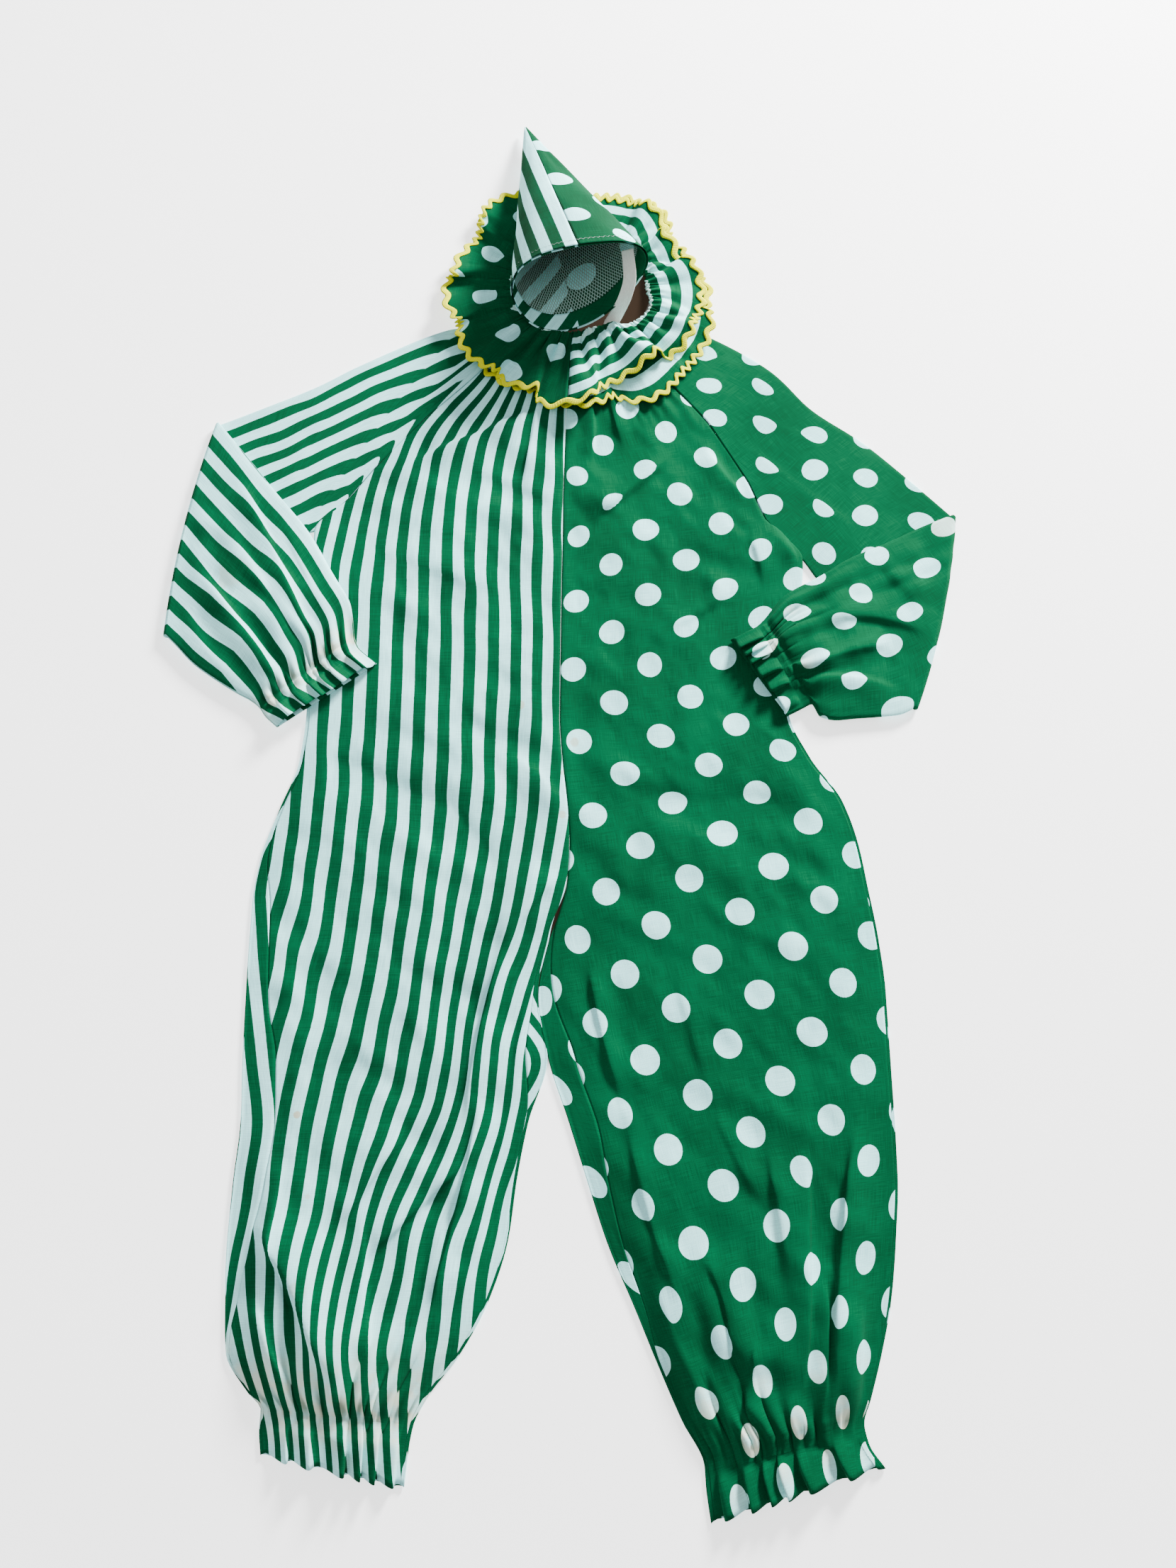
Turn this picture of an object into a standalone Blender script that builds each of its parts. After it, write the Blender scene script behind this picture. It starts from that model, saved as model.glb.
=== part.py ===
"""Clown costume laid flat: a jumpsuit, a double ruffle collar and a cone hat.

Metres, +Z up, +Y towards the head, +X towards the wearer's left. The jumpsuit
lies on its back on the surface z = 0, its front panels over its back panels,
each sleeve folded at the elbow so that the forearm lies on the upper arm. The
collar lies over the neck, and the hat lies on its side over the collar's back.
Every piece of cloth is an open sheet of points. Solidify gives it its wall, or,
where a pressed fold is too tight for that, the wall is worked out section by
section.
"""
import math
from collections import namedtuple

import bmesh
import bpy
from mathutils import Vector

# Cloth
WALL = 0.0012
SEAM_GAP = 0.0003
FOLD_RADIUS = 0.0012            # of a pressed fold, to the middle of the cloth
FLOOR_MID = WALL / 2            # middle of cloth that lies on the surface
TOP_MID = FLOOR_MID + 2 * FOLD_RADIUS
RISE = 0.05                     # distance from a fold to the full crown
FLAP = 0.003                    # least width of back cloth over a fold
FRONT_COLUMNS = 9
BACK_COLUMNS = 3
BACK_MARGIN = 0.018             # from the ends of a section to the first of them

# Body and leg sections, neck to hem. outer is the side seam's side and inner
# the centre's or the other leg's. roll is how far the back panel comes over
# the top there, crown how far the upper cloth stands above a pressed fold,
# pleat the height of the gathers. edge says what the section's outer and
# inner ends are: R raglan seam, C centre seam, F fold.
Section = namedtuple(
    "Section", "outer_x outer_y inner_x inner_y roll_outer roll_inner crown pleat edge")

RIGHT_SECTIONS = [
    Section(-0.092, 0.482, 0.000, 0.478, 0, 0, 0.0015, 0.001, "RC"),
    Section(-0.128, 0.443, 0.000, 0.440, 0, 0, 0.0015, 0.001, "RC"),
    Section(-0.176, 0.394, -0.001, 0.390, 0, 0, 0.0015, 0, "RC"),
    Section(-0.238, 0.319, -0.003, 0.310, 0, 0, 0.0015, 0, "RC"),
    Section(-0.266, 0.279, -0.004, 0.270, 0, 0, 0.0015, 0, "RC"),
    Section(-0.306, 0.234, -0.004, 0.232, 0, 0, 0.0015, 0, "RC"),
    Section(-0.306, 0.150, -0.005, 0.150, 0.003, 0, 0.0015, 0, "FC"),
    Section(-0.300, -0.010, -0.006, -0.010, 0.003, 0, 0.002, 0, "FC"),
    Section(-0.304, -0.065, -0.003, -0.060, 0.003, 0, 0.0025, 0, "FC"),
    Section(-0.323, -0.125, 0.003, -0.115, 0.003, 0, 0.003, 0, "FC"),
    Section(-0.340, -0.184, 0.006, -0.165, 0.008, 0, 0.003, 0, "FC"),
    Section(-0.345, -0.232, 0.003, -0.213, 0.019, 0, 0.003, 0, "FC"),
    Section(-0.345, -0.285, -0.018, -0.275, 0.022, 0.003, 0.003, 0, "FF"),
    Section(-0.344, -0.345, -0.029, -0.338, 0.025, 0.005, 0.003, 0, "FF"),
    Section(-0.342, -0.410, -0.018, -0.405, 0.036, 0.022, 0.0035, 0, "FF"),
    Section(-0.339, -0.475, -0.036, -0.472, 0.036, 0.003, 0.004, 0, "FF"),
    Section(-0.342, -0.535, -0.047, -0.530, 0.033, 0.003, 0.005, 0, "FF"),
    Section(-0.343, -0.595, -0.055, -0.590, 0.025, 0.003, 0.006, 0.002, "FF"),
    Section(-0.340, -0.650, -0.074, -0.650, 0.014, 0.003, 0.008, 0.003, "FF"),
    Section(-0.335, -0.700, -0.104, -0.704, 0.003, 0.003, 0.010, 0.004, "FF"),
    Section(-0.311, -0.735, -0.134, -0.742, 0.003, 0.003, 0.010, 0.004, "FF"),
    Section(-0.296, -0.752, -0.146, -0.766, 0.003, 0.003, 0.006, 0.003, "FF"),
    Section(-0.297, -0.766, -0.148, -0.780, 0.003, 0.003, 0.007, 0.003, "FF"),
    Section(-0.294, -0.792, -0.152, -0.822, 0.003, 0.003, 0.005, 0.003, "FF"),
]
LEFT_SECTIONS = [
    Section(0.095, 0.486, 0.000, 0.478, 0, 0, 0.0015, 0.001, "RC"),
    Section(0.132, 0.442, 0.000, 0.440, 0, 0, 0.0015, 0.001, "RC"),
    Section(0.176, 0.388, -0.001, 0.390, 0, 0, 0.0015, 0, "RC"),
    Section(0.224, 0.301, -0.003, 0.310, 0, 0, 0.0015, 0, "RC"),
    Section(0.243, 0.250, -0.004, 0.270, 0, 0, 0.0015, 0, "RC"),
    Section(0.286, 0.196, -0.004, 0.232, 0, 0, 0.0015, 0, "RC"),
    Section(0.280, 0.125, -0.005, 0.150, 0.003, 0, 0.0015, 0, "FC"),
    Section(0.260, -0.005, -0.006, -0.010, 0.003, 0, 0.002, 0, "FC"),
    Section(0.281, -0.060, -0.003, -0.060, 0.003, 0, 0.0025, 0, "FC"),
    Section(0.316, -0.115, 0.003, -0.115, 0.003, 0, 0.003, 0, "FC"),
    Section(0.331, -0.167, 0.006, -0.165, 0.003, 0, 0.003, 0, "FC"),
    Section(0.338, -0.215, 0.003, -0.213, 0.003, 0, 0.003, 0, "FC"),
    Section(0.346, -0.275, -0.012, -0.275, 0.003, 0.003, 0.003, 0, "FF"),
    Section(0.350, -0.335, -0.025, -0.338, 0.003, 0.016, 0.003, 0, "FF"),
    Section(0.350, -0.400, -0.013, -0.405, 0.003, 0.028, 0.0035, 0, "FF"),
    Section(0.350, -0.465, 0.006, -0.470, 0.003, 0.029, 0.004, 0, "FF"),
    Section(0.349, -0.528, 0.027, -0.535, 0.003, 0.021, 0.005, 0, "FF"),
    Section(0.343, -0.588, 0.047, -0.595, 0.003, 0.015, 0.006, 0.002, "FF"),
    Section(0.334, -0.648, 0.073, -0.655, 0.003, 0.010, 0.008, 0.003, "FF"),
    Section(0.321, -0.700, 0.097, -0.712, 0.003, 0.003, 0.010, 0.004, "FF"),
    Section(0.308, -0.742, 0.120, -0.762, 0.003, 0.003, 0.010, 0.004, "FF"),
    Section(0.300, -0.766, 0.141, -0.802, 0.003, 0.003, 0.006, 0.003, "FF"),
    Section(0.303, -0.780, 0.142, -0.820, 0.003, 0.003, 0.007, 0.003, "FF"),
    Section(0.318, -0.802, 0.146, -0.852, 0.003, 0.003, 0.005, 0.003, "FF"),
]

# Large folds of the upper cloth: from and to along the ridge, how wide and how
# high it is. They stay clear of the cloth under the forearms.
Fold = namedtuple("Fold", "from_x from_y to_x to_y width height")
FOLDS = [
    Fold(-0.175, 0.335, -0.055, 0.395, 0.022, 0.0025),
    Fold(-0.140, 0.325, -0.010, 0.285, 0.028, 0.0020),
    Fold(-0.300, -0.075, -0.100, -0.130, 0.026, 0.0030),
    Fold(-0.050, -0.230, -0.100, -0.580, 0.024, 0.0040),
    Fold(-0.240, -0.590, -0.180, -0.510, 0.022, 0.0040),
    Fold(-0.320, -0.600, -0.235, -0.725, 0.026, 0.0060),
    Fold(0.010, 0.285, 0.110, 0.335, 0.026, 0.0025),
    Fold(0.050, -0.080, 0.150, -0.120, 0.026, 0.0030),
    Fold(0.215, -0.560, 0.222, -0.735, 0.022, 0.0050),
    Fold(0.270, -0.610, 0.240, -0.760, 0.022, 0.0050),
    Fold(0.125, -0.640, 0.150, -0.745, 0.022, 0.0050),
]

# Sleeves: rings across the sleeve, shoulder to cuff. top is the shoulder's
# side of the sleeve and under the underarm's. turn is how far the cloth has
# turned over at the elbow, crown how far its upper cloth puffs up.
Ring = namedtuple("Ring", "top_x top_y under_x under_y turn crown")
RIGHT_RINGS = [
    Ring(-0.140, 0.528, -0.322, 0.229, 0, 0.0015),
    Ring(-0.258, 0.474, -0.372, 0.190, 0, 0.0015),
    Ring(-0.318, 0.438, -0.402, 0.163, 0, 0.0015),
    Ring(-0.378, 0.409, -0.436, 0.130, 0, 0.0010),
    Ring(-0.434, 0.383, -0.471, 0.092, 0, 0),
    Ring(-0.434, 0.383, -0.471, 0.092, 60, 0),
    Ring(-0.434, 0.383, -0.471, 0.092, 120, 0),
    Ring(-0.434, 0.383, -0.471, 0.092, 180, 0.001),
    Ring(-0.400, 0.340, -0.457, 0.078, 180, 0.002),
    Ring(-0.358, 0.286, -0.436, 0.056, 180, 0.003),
    Ring(-0.313, 0.229, -0.405, 0.033, 180, 0.004),
    Ring(-0.280, 0.172, -0.380, 0.017, 180, 0.005),
    Ring(-0.256, 0.128, -0.364, 0.008, 180, 0.006),
    Ring(-0.249, 0.085, -0.352, -0.002, 180, 0.0035),
    Ring(-0.244, 0.074, -0.346, -0.011, 180, 0.004),
    Ring(-0.222, 0.054, -0.331, -0.025, 180, 0.003),
]
LEFT_RINGS = [
    Ring(0.145, 0.528, 0.312, 0.184, 0, 0.0015),
    Ring(0.256, 0.465, 0.347, 0.122, 0, 0.0015),
    Ring(0.308, 0.405, 0.362, 0.082, 0, 0.0015),
    Ring(0.370, 0.356, 0.382, 0.045, 0, 0.0010),
    Ring(0.471, 0.252, 0.406, 0.000, 0, 0),
    Ring(0.471, 0.252, 0.406, 0.000, 60, 0),
    Ring(0.471, 0.252, 0.406, 0.000, 120, 0),
    Ring(0.471, 0.252, 0.406, 0.000, 180, 0.001),
    Ring(0.434, 0.236, 0.388, -0.009, 180, 0.002),
    Ring(0.388, 0.213, 0.362, -0.012, 180, 0.003),
    Ring(0.340, 0.191, 0.336, -0.014, 180, 0.004),
    Ring(0.305, 0.168, 0.314, -0.016, 180, 0.005),
    Ring(0.262, 0.142, 0.296, -0.012, 180, 0.006),
    Ring(0.236, 0.110, 0.286, 0.004, 180, 0.0035),
    Ring(0.228, 0.102, 0.277, 0.000, 180, 0.004),
    Ring(0.196, 0.084, 0.257, -0.010, 180, 0.003),
]
ELBOW_BOW = 0.008               # how far the elbow's crease bows outwards
ARM_HALF = 0.001225             # half the distance between a sleeve's two cloths
ELBOW_MID = 0.0029              # from the elbow's pivot to the sleeve's middle
ELBOW_PIVOT_Z = FLOOR_MID + ELBOW_MID + ARM_HALF

# Collar: spokes round its centre. angle is from the front seam towards the
# wearer's left, in degrees.
Spoke = namedtuple("Spoke", "angle neck top under")
COLLAR_CENTRE = (0.018, 0.594)
COLLAR_SPOKES = [
    Spoke(-180, 0.092, 0.140, 0.145),
    Spoke(-137, 0.092, 0.158, 0.176),
    Spoke(-111, 0.090, 0.150, 0.157),
    Spoke(-90, 0.088, 0.164, 0.173),
    Spoke(-66, 0.098, 0.164, 0.174),
    Spoke(-44, 0.088, 0.172, 0.182),
    Spoke(-27, 0.085, 0.166, 0.178),
    Spoke(-7, 0.082, 0.190, 0.181),
    Spoke(12, 0.074, 0.164, 0.180),
    Spoke(30, 0.074, 0.150, 0.194),
    Spoke(45, 0.092, 0.160, 0.190),
    Spoke(65, 0.098, 0.160, 0.176),
    Spoke(90, 0.086, 0.150, 0.158),
    Spoke(118, 0.090, 0.130, 0.140),
    Spoke(146, 0.092, 0.150, 0.160),
    Spoke(180, 0.092, 0.140, 0.145),
]
COLLAR_COLUMNS = 18             # round each half
COLLAR_RIPPLES = 5              # ruffles round each half
COLLAR_RIPPLE = 0.0035
COLLAR_GAP = 0.0042             # between the middles of the two layers
COLLAR_ON_SUIT = 0.0084         # middle of the lower layer where the suit is under it
COLLAR_FRONT_SEAM = -6          # degrees
BRAID_WIDTH = 0.012
BRAID_WALL = 0.0010
BRAID_OVERHANG = 0.004          # past the ruffle's edge
BRAID_GAP = 0.0012              # above the rippled ruffle

# Hat: a cone from its tip to an oval rim, lying on its side.
HAT_TIP = Vector((-0.058, 0.8514, 0.0085))
TIP_SIZE = 0.016                # of the rim's size, at the tip
RIM_CENTRE = Vector((0.016, 0.544, 0.0685))
RIM_SIDE = Vector((0.084, 0.009, 0.0))
RIM_UP = Vector((0.018, 0.017, 0.058))
RIM_LEAN = Vector((0.0, 0.018, 0.0))   # the rim's sides stand back from its top
HAT_SEAM = 103                  # degrees round the rim, from the wearer's left
HAT_ROWS = 5
HAT_COLUMNS = 10                # round each half
MESH_WALL = 0.0010
HEM_START = 0.93                # along the cone
STRAP_WIDTH = 0.019
STRAP_WALL = 0.0012
STRAP_ROUTE = [                 # middle of the elastic, rim to under the collar
    (0.076, 0.584, 0.086),
    (0.079, 0.556, 0.070),
    (0.073, 0.544, 0.044),
    (0.064, 0.541, 0.019),
    (0.058, 0.538, 0.006),
    (0.054, 0.521, 0.003),
]

GREEN = (0.0, 0.19, 0.075, 1)
PALE = (0.80, 0.84, 0.86, 1)
YELLOW = (0.86, 0.80, 0.03, 1)


def smooth(low, high, value):
    """Ease from 0 at low to 1 at high."""
    t = min(1.0, max(0.0, (value - low) / (high - low)))
    return t * t * (3 - 2 * t)


def fold_height(x, y):
    """Height that the large folds add at a place."""
    total = 0.0
    for fold in FOLDS:
        start = Vector((fold.from_x, fold.from_y))
        along = Vector((fold.to_x, fold.to_y)) - start
        offset = Vector((x, y)) - start
        t = min(1.0, max(0.0, offset.dot(along) / along.length_squared))
        across = (offset - along * t).length / fold.width
        total += fold.height * math.exp(-2 * across * across) * math.sin(math.pi * (0.1 + 0.8 * t))
    return total


def cloth_material(name, colour):
    material = bpy.data.materials.new(name)
    material.use_nodes = True
    shader = material.node_tree.nodes["Principled BSDF"]
    shader.inputs["Base Color"].default_value = colour
    shader.inputs["Roughness"].default_value = 0.85
    shader.inputs["Metallic"].default_value = 0.0
    return material


def sheet(name, rows, material, wall=WALL, closed=False):
    """A named sheet of cloth through rows of points, with a wall of its own."""
    width = len(rows[0])
    points = [point for row in rows for point in row]
    faces = []
    for i in range(len(rows) - 1):
        for j in range(width if closed else width - 1):
            k = (j + 1) % width
            faces.append((i * width + j, i * width + k, (i + 1) * width + k, (i + 1) * width + j))
    mesh = bpy.data.meshes.new(name)
    mesh.from_pydata([tuple(point) for point in points], [], faces)
    mesh.materials.append(material)
    mesh.shade_smooth()
    piece = bpy.data.objects.new(name, mesh)
    collection.objects.link(piece)
    solidify = piece.modifiers.new("Wall", "SOLIDIFY")
    solidify.thickness = wall
    solidify.offset = 0.0
    solidify.use_even_offset = True
    return piece


def wall_offset(row, k, axis, closed):
    """Half the wall at point k of a section, square to the cloth in the section's plane."""
    count = len(row)
    sides = []
    for a, b in ((k - 1, k), (k, k + 1)):
        if closed or (a >= 0 and b < count):
            sides.append(axis.cross(row[b % count] - row[a % count]).normalized())
    if len(sides) == 1:
        return sides[0] * WALL / 2
    middle = sides[0] + sides[1]
    return middle * WALL / (middle.length_squared if middle.length > 1 else 1)


def folded_sheet(name, rows, axes, material, closed=False):
    """A sheet with pressed folds. axes are the directions square to each row's section."""
    width = len(rows[0])
    count = len(rows)
    mesh = bmesh.new()
    skins = []
    for way in (1, -1):
        skin = []
        for row, axis in zip(rows, axes):
            skin.append([mesh.verts.new(point + wall_offset(row, k, axis, closed) * way)
                         for k, point in enumerate(row)])
        skins.append(skin)
    steps = range(width if closed else width - 1)
    for skin, way in zip(skins, (1, -1)):
        for i in range(count - 1):
            for j in steps:
                k = (j + 1) % width
                mesh.faces.new([skin[i][j], skin[i][k], skin[i + 1][k], skin[i + 1][j]][::way])
    upper, lower = skins
    for i, way in ((0, -1), (count - 1, 1)):
        for j in steps:
            k = (j + 1) % width
            mesh.faces.new([upper[i][j], upper[i][k], lower[i][k], lower[i][j]][::way])
    if not closed:
        for j, way in ((0, 1), (width - 1, -1)):
            for i in range(count - 1):
                mesh.faces.new([upper[i][j], upper[i + 1][j], lower[i + 1][j], lower[i][j]][::way])
    bmesh.ops.recalc_face_normals(mesh, faces=mesh.faces[:])
    data = bpy.data.meshes.new(name)
    mesh.to_mesh(data)
    mesh.free()
    data.materials.append(material)
    piece = bpy.data.objects.new(name, data)
    collection.objects.link(piece)
    return piece


class Cut:
    """One body or leg section, measured from its outer end to its inner end."""

    def __init__(self, section):
        self.section = section
        self.outer = Vector((section.outer_x, section.outer_y))
        self.inner = Vector((section.inner_x, section.inner_y))
        self.width = (self.inner - self.outer).length
        self.outer_folds = section.edge[0] == "F"
        self.inner_folds = section.edge[1] == "F"

    def point(self, distance, height):
        place = self.outer.lerp(self.inner, distance / self.width)
        return Vector((place.x, place.y, height))

    def top(self, distance):
        """Height of the upper cloth's middle, a distance in from the outer end."""
        rise = 1.0
        if self.outer_folds:
            rise *= smooth(0, RISE, distance)
        if self.inner_folds:
            rise *= smooth(0, RISE, self.width - distance)
        share = distance / self.width
        ripple = self.section.pleat * (0.5 - 0.5 * math.cos(2 * math.pi * 4 * share))
        place = self.point(distance, 0)
        return TOP_MID + rise * (self.section.crown + ripple + fold_height(place.x, place.y))

    def front_row(self):
        """The front panel's middle points, outer edge to inner edge."""
        start = self.section.roll_outer + SEAM_GAP if self.outer_folds else SEAM_GAP / 2
        end = self.width - (self.section.roll_inner + SEAM_GAP if self.inner_folds else SEAM_GAP / 2)
        row = []
        for j in range(FRONT_COLUMNS + 1):
            distance = start + (end - start) * j / FRONT_COLUMNS
            row.append(self.point(distance, self.top(distance)))
        return row

    def wrap(self, folds, roll):
        """Back panel from its edge to the surface, as distance in from the end and height."""
        if not folds:
            return [(SEAM_GAP / 2 + FLAP * step, FLOOR_MID) for step in range(4)]
        flap = [(roll, None)]
        for degrees in (90, 180, 270):
            angle = math.radians(degrees)
            flap.append((FOLD_RADIUS * (1 + math.cos(angle)),
                         FLOOR_MID + FOLD_RADIUS * (1 + math.sin(angle))))
        return flap

    def back_row(self):
        """The back panel's middle points, outer edge, along the surface, to inner edge."""
        def place(pair, mirrored):
            distance = self.width - pair[0] if mirrored else pair[0]
            return self.point(distance, self.top(distance) if pair[1] is None else pair[1])

        outer = [place(pair, False) for pair in self.wrap(self.outer_folds, self.section.roll_outer)]
        inner = [place(pair, True) for pair in self.wrap(self.inner_folds, self.section.roll_inner)]
        span = self.width - 2 * BACK_MARGIN
        flat = [self.point(BACK_MARGIN + span * j / BACK_COLUMNS, FLOOR_MID)
                for j in range(BACK_COLUMNS + 1)]
        return outer + flat + inner[::-1]

    def axis(self):
        """The level direction square to the section."""
        along = (self.inner - self.outer).normalized()
        return Vector((along.y, -along.x, 0))


def make_half(side, sections, material):
    """The front and back panels of one half of the jumpsuit."""
    cuts = [Cut(section) for section in sections]
    sheet("front_" + side, [cut.front_row() for cut in cuts], material)
    backs = [cut.back_row() for cut in cuts]
    folded_sheet("back_" + side, backs, [cut.axis() for cut in cuts], material)


def make_sleeve(name, sections, rings, material):
    """One raglan sleeve: a pressed tube from the raglan seam to the cuff."""
    raglan = [Vector((s.outer_x, s.outer_y)) for s in sections if s.edge[0] == "R"]
    lengths = [0.0]
    for a, b in zip(raglan, raglan[1:]):
        lengths.append(lengths[-1] + (b - a).length)
    shares = [length / lengths[-1] for length in lengths]
    bows = [point - raglan[0].lerp(raglan[-1], share) for point, share in zip(raglan, shares)]
    seam_line = (raglan[-1] - raglan[0]).normalized()
    side = math.copysign(1, raglan[-1].x)
    clear = Vector((seam_line.y, -seam_line.x)) * -side * (SEAM_GAP + 0.0002)
    first = Ring(*(raglan[0] + clear), *(raglan[-1] + clear), 0, 0.0015)

    rows = []
    axes = []
    for number, ring in enumerate([first] + rings):
        top = Vector((ring.top_x, ring.top_y))
        under = Vector((ring.under_x, ring.under_y))
        across = (under - top).normalized()
        outwards = Vector((across.y, -across.x)) * -side
        turn = math.radians(ring.turn)
        normal = Vector((*(outwards * math.sin(turn)), -math.cos(turn)))
        raglan_part = max(0.0, 1 - number / 3)
        near_elbow = smooth(4, 6, number) * (1 - smooth(9, 11, number))

        def middle(share, past=0.0):
            place = top.lerp(under, share) + across * past
            bow = bows[min(range(len(shares)), key=lambda k: abs(shares[k] - share))]
            place += bow * raglan_part
            place += outwards * ELBOW_BOW * near_elbow * 4 * share * (1 - share)
            return Vector((*place, ELBOW_PIVOT_Z)) + normal * ELBOW_MID

        def puff(share):
            return ring.crown * math.sin(math.pi * share) ** 0.5

        outer = []
        inner = []
        for share in shares:
            puff_out = puff(share) if ring.turn > 90 else 0.0
            puff_in = puff(share) if ring.turn < 90 else 0.0
            outer.append(middle(share) + normal * (ARM_HALF + puff_out))
            inner.append(middle(share) - normal * (ARM_HALF + puff_in))
        rows.append(outer + [middle(1, ARM_HALF)] + inner[::-1] + [middle(0, -ARM_HALF)])
        axes.append(Vector((*across, 0)).cross(normal))
    folded_sheet(name, rows, axes, material, closed=True)


def collar_spoke(angle):
    """The collar's radii at an angle, between the spokes of the table."""
    for a, b in zip(COLLAR_SPOKES, COLLAR_SPOKES[1:]):
        if angle <= b.angle:
            t = smooth(a.angle, b.angle, angle)
            return [a[k] + (b[k] - a[k]) * t for k in (1, 2, 3)]
    return list(COLLAR_SPOKES[-1][1:])


def collar_place(angle, radius, height):
    """A point of the collar, resting on the suit at the front and the surface behind."""
    turn = math.radians(angle)
    x = COLLAR_CENTRE[0] + radius * math.sin(turn)
    y = COLLAR_CENTRE[1] - radius * math.cos(turn)
    base = FLOOR_MID + (COLLAR_ON_SUIT - FLOOR_MID) * (1 - smooth(0.545, 0.60, y))
    return Vector((x, y, base + height))


def collar_ripple(angle, share):
    """Height of the ruffle's waves: none at the neck, none under the hat."""
    free = 1 - smooth(110, 150, abs(angle))
    return COLLAR_RIPPLE * free * share * (0.5 - 0.5 * math.cos(math.radians(angle) * 2 * COLLAR_RIPPLES))


def make_collar(name, start, end, material):
    """Half of the collar: a strip doubled at the neck edge, its two layers apart."""
    rows = []
    for i in range(COLLAR_COLUMNS + 1):
        angle = start + (end - start) * i / COLLAR_COLUMNS
        neck, top, under = collar_spoke(angle)
        bend = COLLAR_GAP / 2
        row = []
        for share in (1.0, 0.7, 0.35):
            row.append(collar_place(angle, neck + (under - neck) * share, 0))
        row.append(collar_place(angle, neck + bend, 0))
        row.append(collar_place(angle, neck, bend * 0.6))
        row.append(collar_place(angle, neck, bend * 1.4))
        row.append(collar_place(angle, neck + bend, 2 * bend))
        for share in (0.35, 0.7, 1.0):
            height = COLLAR_GAP + collar_ripple(angle, share)
            row.append(collar_place(angle, neck + (top - neck) * share, height))
        rows.append(row)
    sheet(name, rows, material)


def make_braid(name, layer, material):
    """Rickrack braid along a layer's edge, on top of the layer."""
    lift = WALL / 2 + BRAID_GAP + BRAID_WALL / 2
    rows = []
    steps = 2 * COLLAR_COLUMNS
    for i in range(steps + 1):
        angle = -178 + 356 * i / steps
        neck, top, under = collar_spoke(angle)
        edge = top if layer == "top" else under
        height = COLLAR_GAP + collar_ripple(angle, 1) if layer == "top" else 0.0
        row = []
        for inset in (BRAID_WIDTH - BRAID_OVERHANG, -BRAID_OVERHANG):
            slope = 0.0
            if layer == "top":
                slope = -collar_ripple(angle, 1) * inset / (edge - neck)
            row.append(collar_place(angle, edge - inset, height + lift + slope))
        rows.append(row)
    sheet(name, rows, material, wall=BRAID_WALL)


def hat_point(along, degrees, inset=0.0):
    """A point of the cone: along from tip to rim, round from the wearer's left side."""
    turn = math.radians(degrees)
    size = TIP_SIZE + (1 - TIP_SIZE) * along
    centre = HAT_TIP.lerp(RIM_CENTRE, along)
    around = RIM_SIDE * math.cos(turn) + RIM_UP * math.sin(turn)
    around += RIM_LEAN * (math.cos(turn) ** 2)
    spoke = around * size
    return centre + spoke * (1 - inset / max(spoke.length, 4 * inset, 1e-6))


def make_hat(material_stripes, material_dots, material_pale):
    """The cone's two halves, its stiff mesh lining and the hem turned inside the rim."""
    gap = math.degrees(SEAM_GAP / RIM_SIDE.length)
    for name, start, material in (("hat_dots", HAT_SEAM - 180, material_dots),
                                  ("hat_stripes", HAT_SEAM, material_stripes)):
        rows = []
        for i in range(HAT_ROWS + 1):
            along = i / HAT_ROWS
            size = TIP_SIZE + (1 - TIP_SIZE) * along
            trim = gap / size
            row = [hat_point(along, start + trim + (180 - 2 * trim) * j / HAT_COLUMNS)
                   for j in range(HAT_COLUMNS + 1)]
            rows.append(row)
        sheet(name, rows, material)
    around = 2 * HAT_COLUMNS
    inset = WALL / 2 + SEAM_GAP + MESH_WALL / 2 + 0.0004
    rows = [[hat_point(along, HAT_SEAM + 360 * j / around, inset) for j in range(around)]
            for along in (0.10, 0.30, 0.55, 0.80, 0.985)]
    sheet("hat_mesh", rows, material_pale, wall=MESH_WALL, closed=True)
    inset += MESH_WALL / 2 + SEAM_GAP + WALL / 2 + 0.0004
    rows = [[hat_point(along, HAT_SEAM + 360 * j / around, inset) for j in range(around)]
            for along in (HEM_START, 0.995)]
    sheet("hat_hem", rows, material_dots, closed=True)


def make_strap(material):
    """The chin elastic, from inside the rim down to under the collar's neck edge."""
    rows = []
    for x, y, z in STRAP_ROUTE:
        middle = Vector((x, y, z))
        across = Vector((0.62, -0.25, 0.55)).lerp(Vector((0.92, -0.25, 0.0)), 1 - z / 0.088)
        across.normalize()
        rows.append([middle - across * STRAP_WIDTH / 2, middle + across * STRAP_WIDTH / 2])
    sheet("hat_elastic", rows, material, wall=STRAP_WALL)


for leftover in list(bpy.data.objects):
    bpy.data.objects.remove(leftover, do_unlink=True)
collection = bpy.data.collections.new("clown_costume")
bpy.context.scene.collection.children.link(collection)

stripes = cloth_material("stripes", PALE)
dots = cloth_material("dots", GREEN)
braid = cloth_material("rickrack", YELLOW)
pale = cloth_material("pale_cloth", PALE)

make_half("right", RIGHT_SECTIONS, stripes)
make_half("left", LEFT_SECTIONS, dots)
make_sleeve("sleeve_right", RIGHT_SECTIONS, RIGHT_RINGS, stripes)
make_sleeve("sleeve_left", LEFT_SECTIONS, LEFT_RINGS, dots)
seam_trim = 0.15
make_collar("collar_dots", -180 + seam_trim, COLLAR_FRONT_SEAM - seam_trim, dots)
make_collar("collar_stripes", COLLAR_FRONT_SEAM + seam_trim, 180 - seam_trim, stripes)
make_braid("rickrack_top", "top", braid)
make_braid("rickrack_under", "under", braid)
make_hat(stripes, dots, pale)
make_strap(pale)
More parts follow.
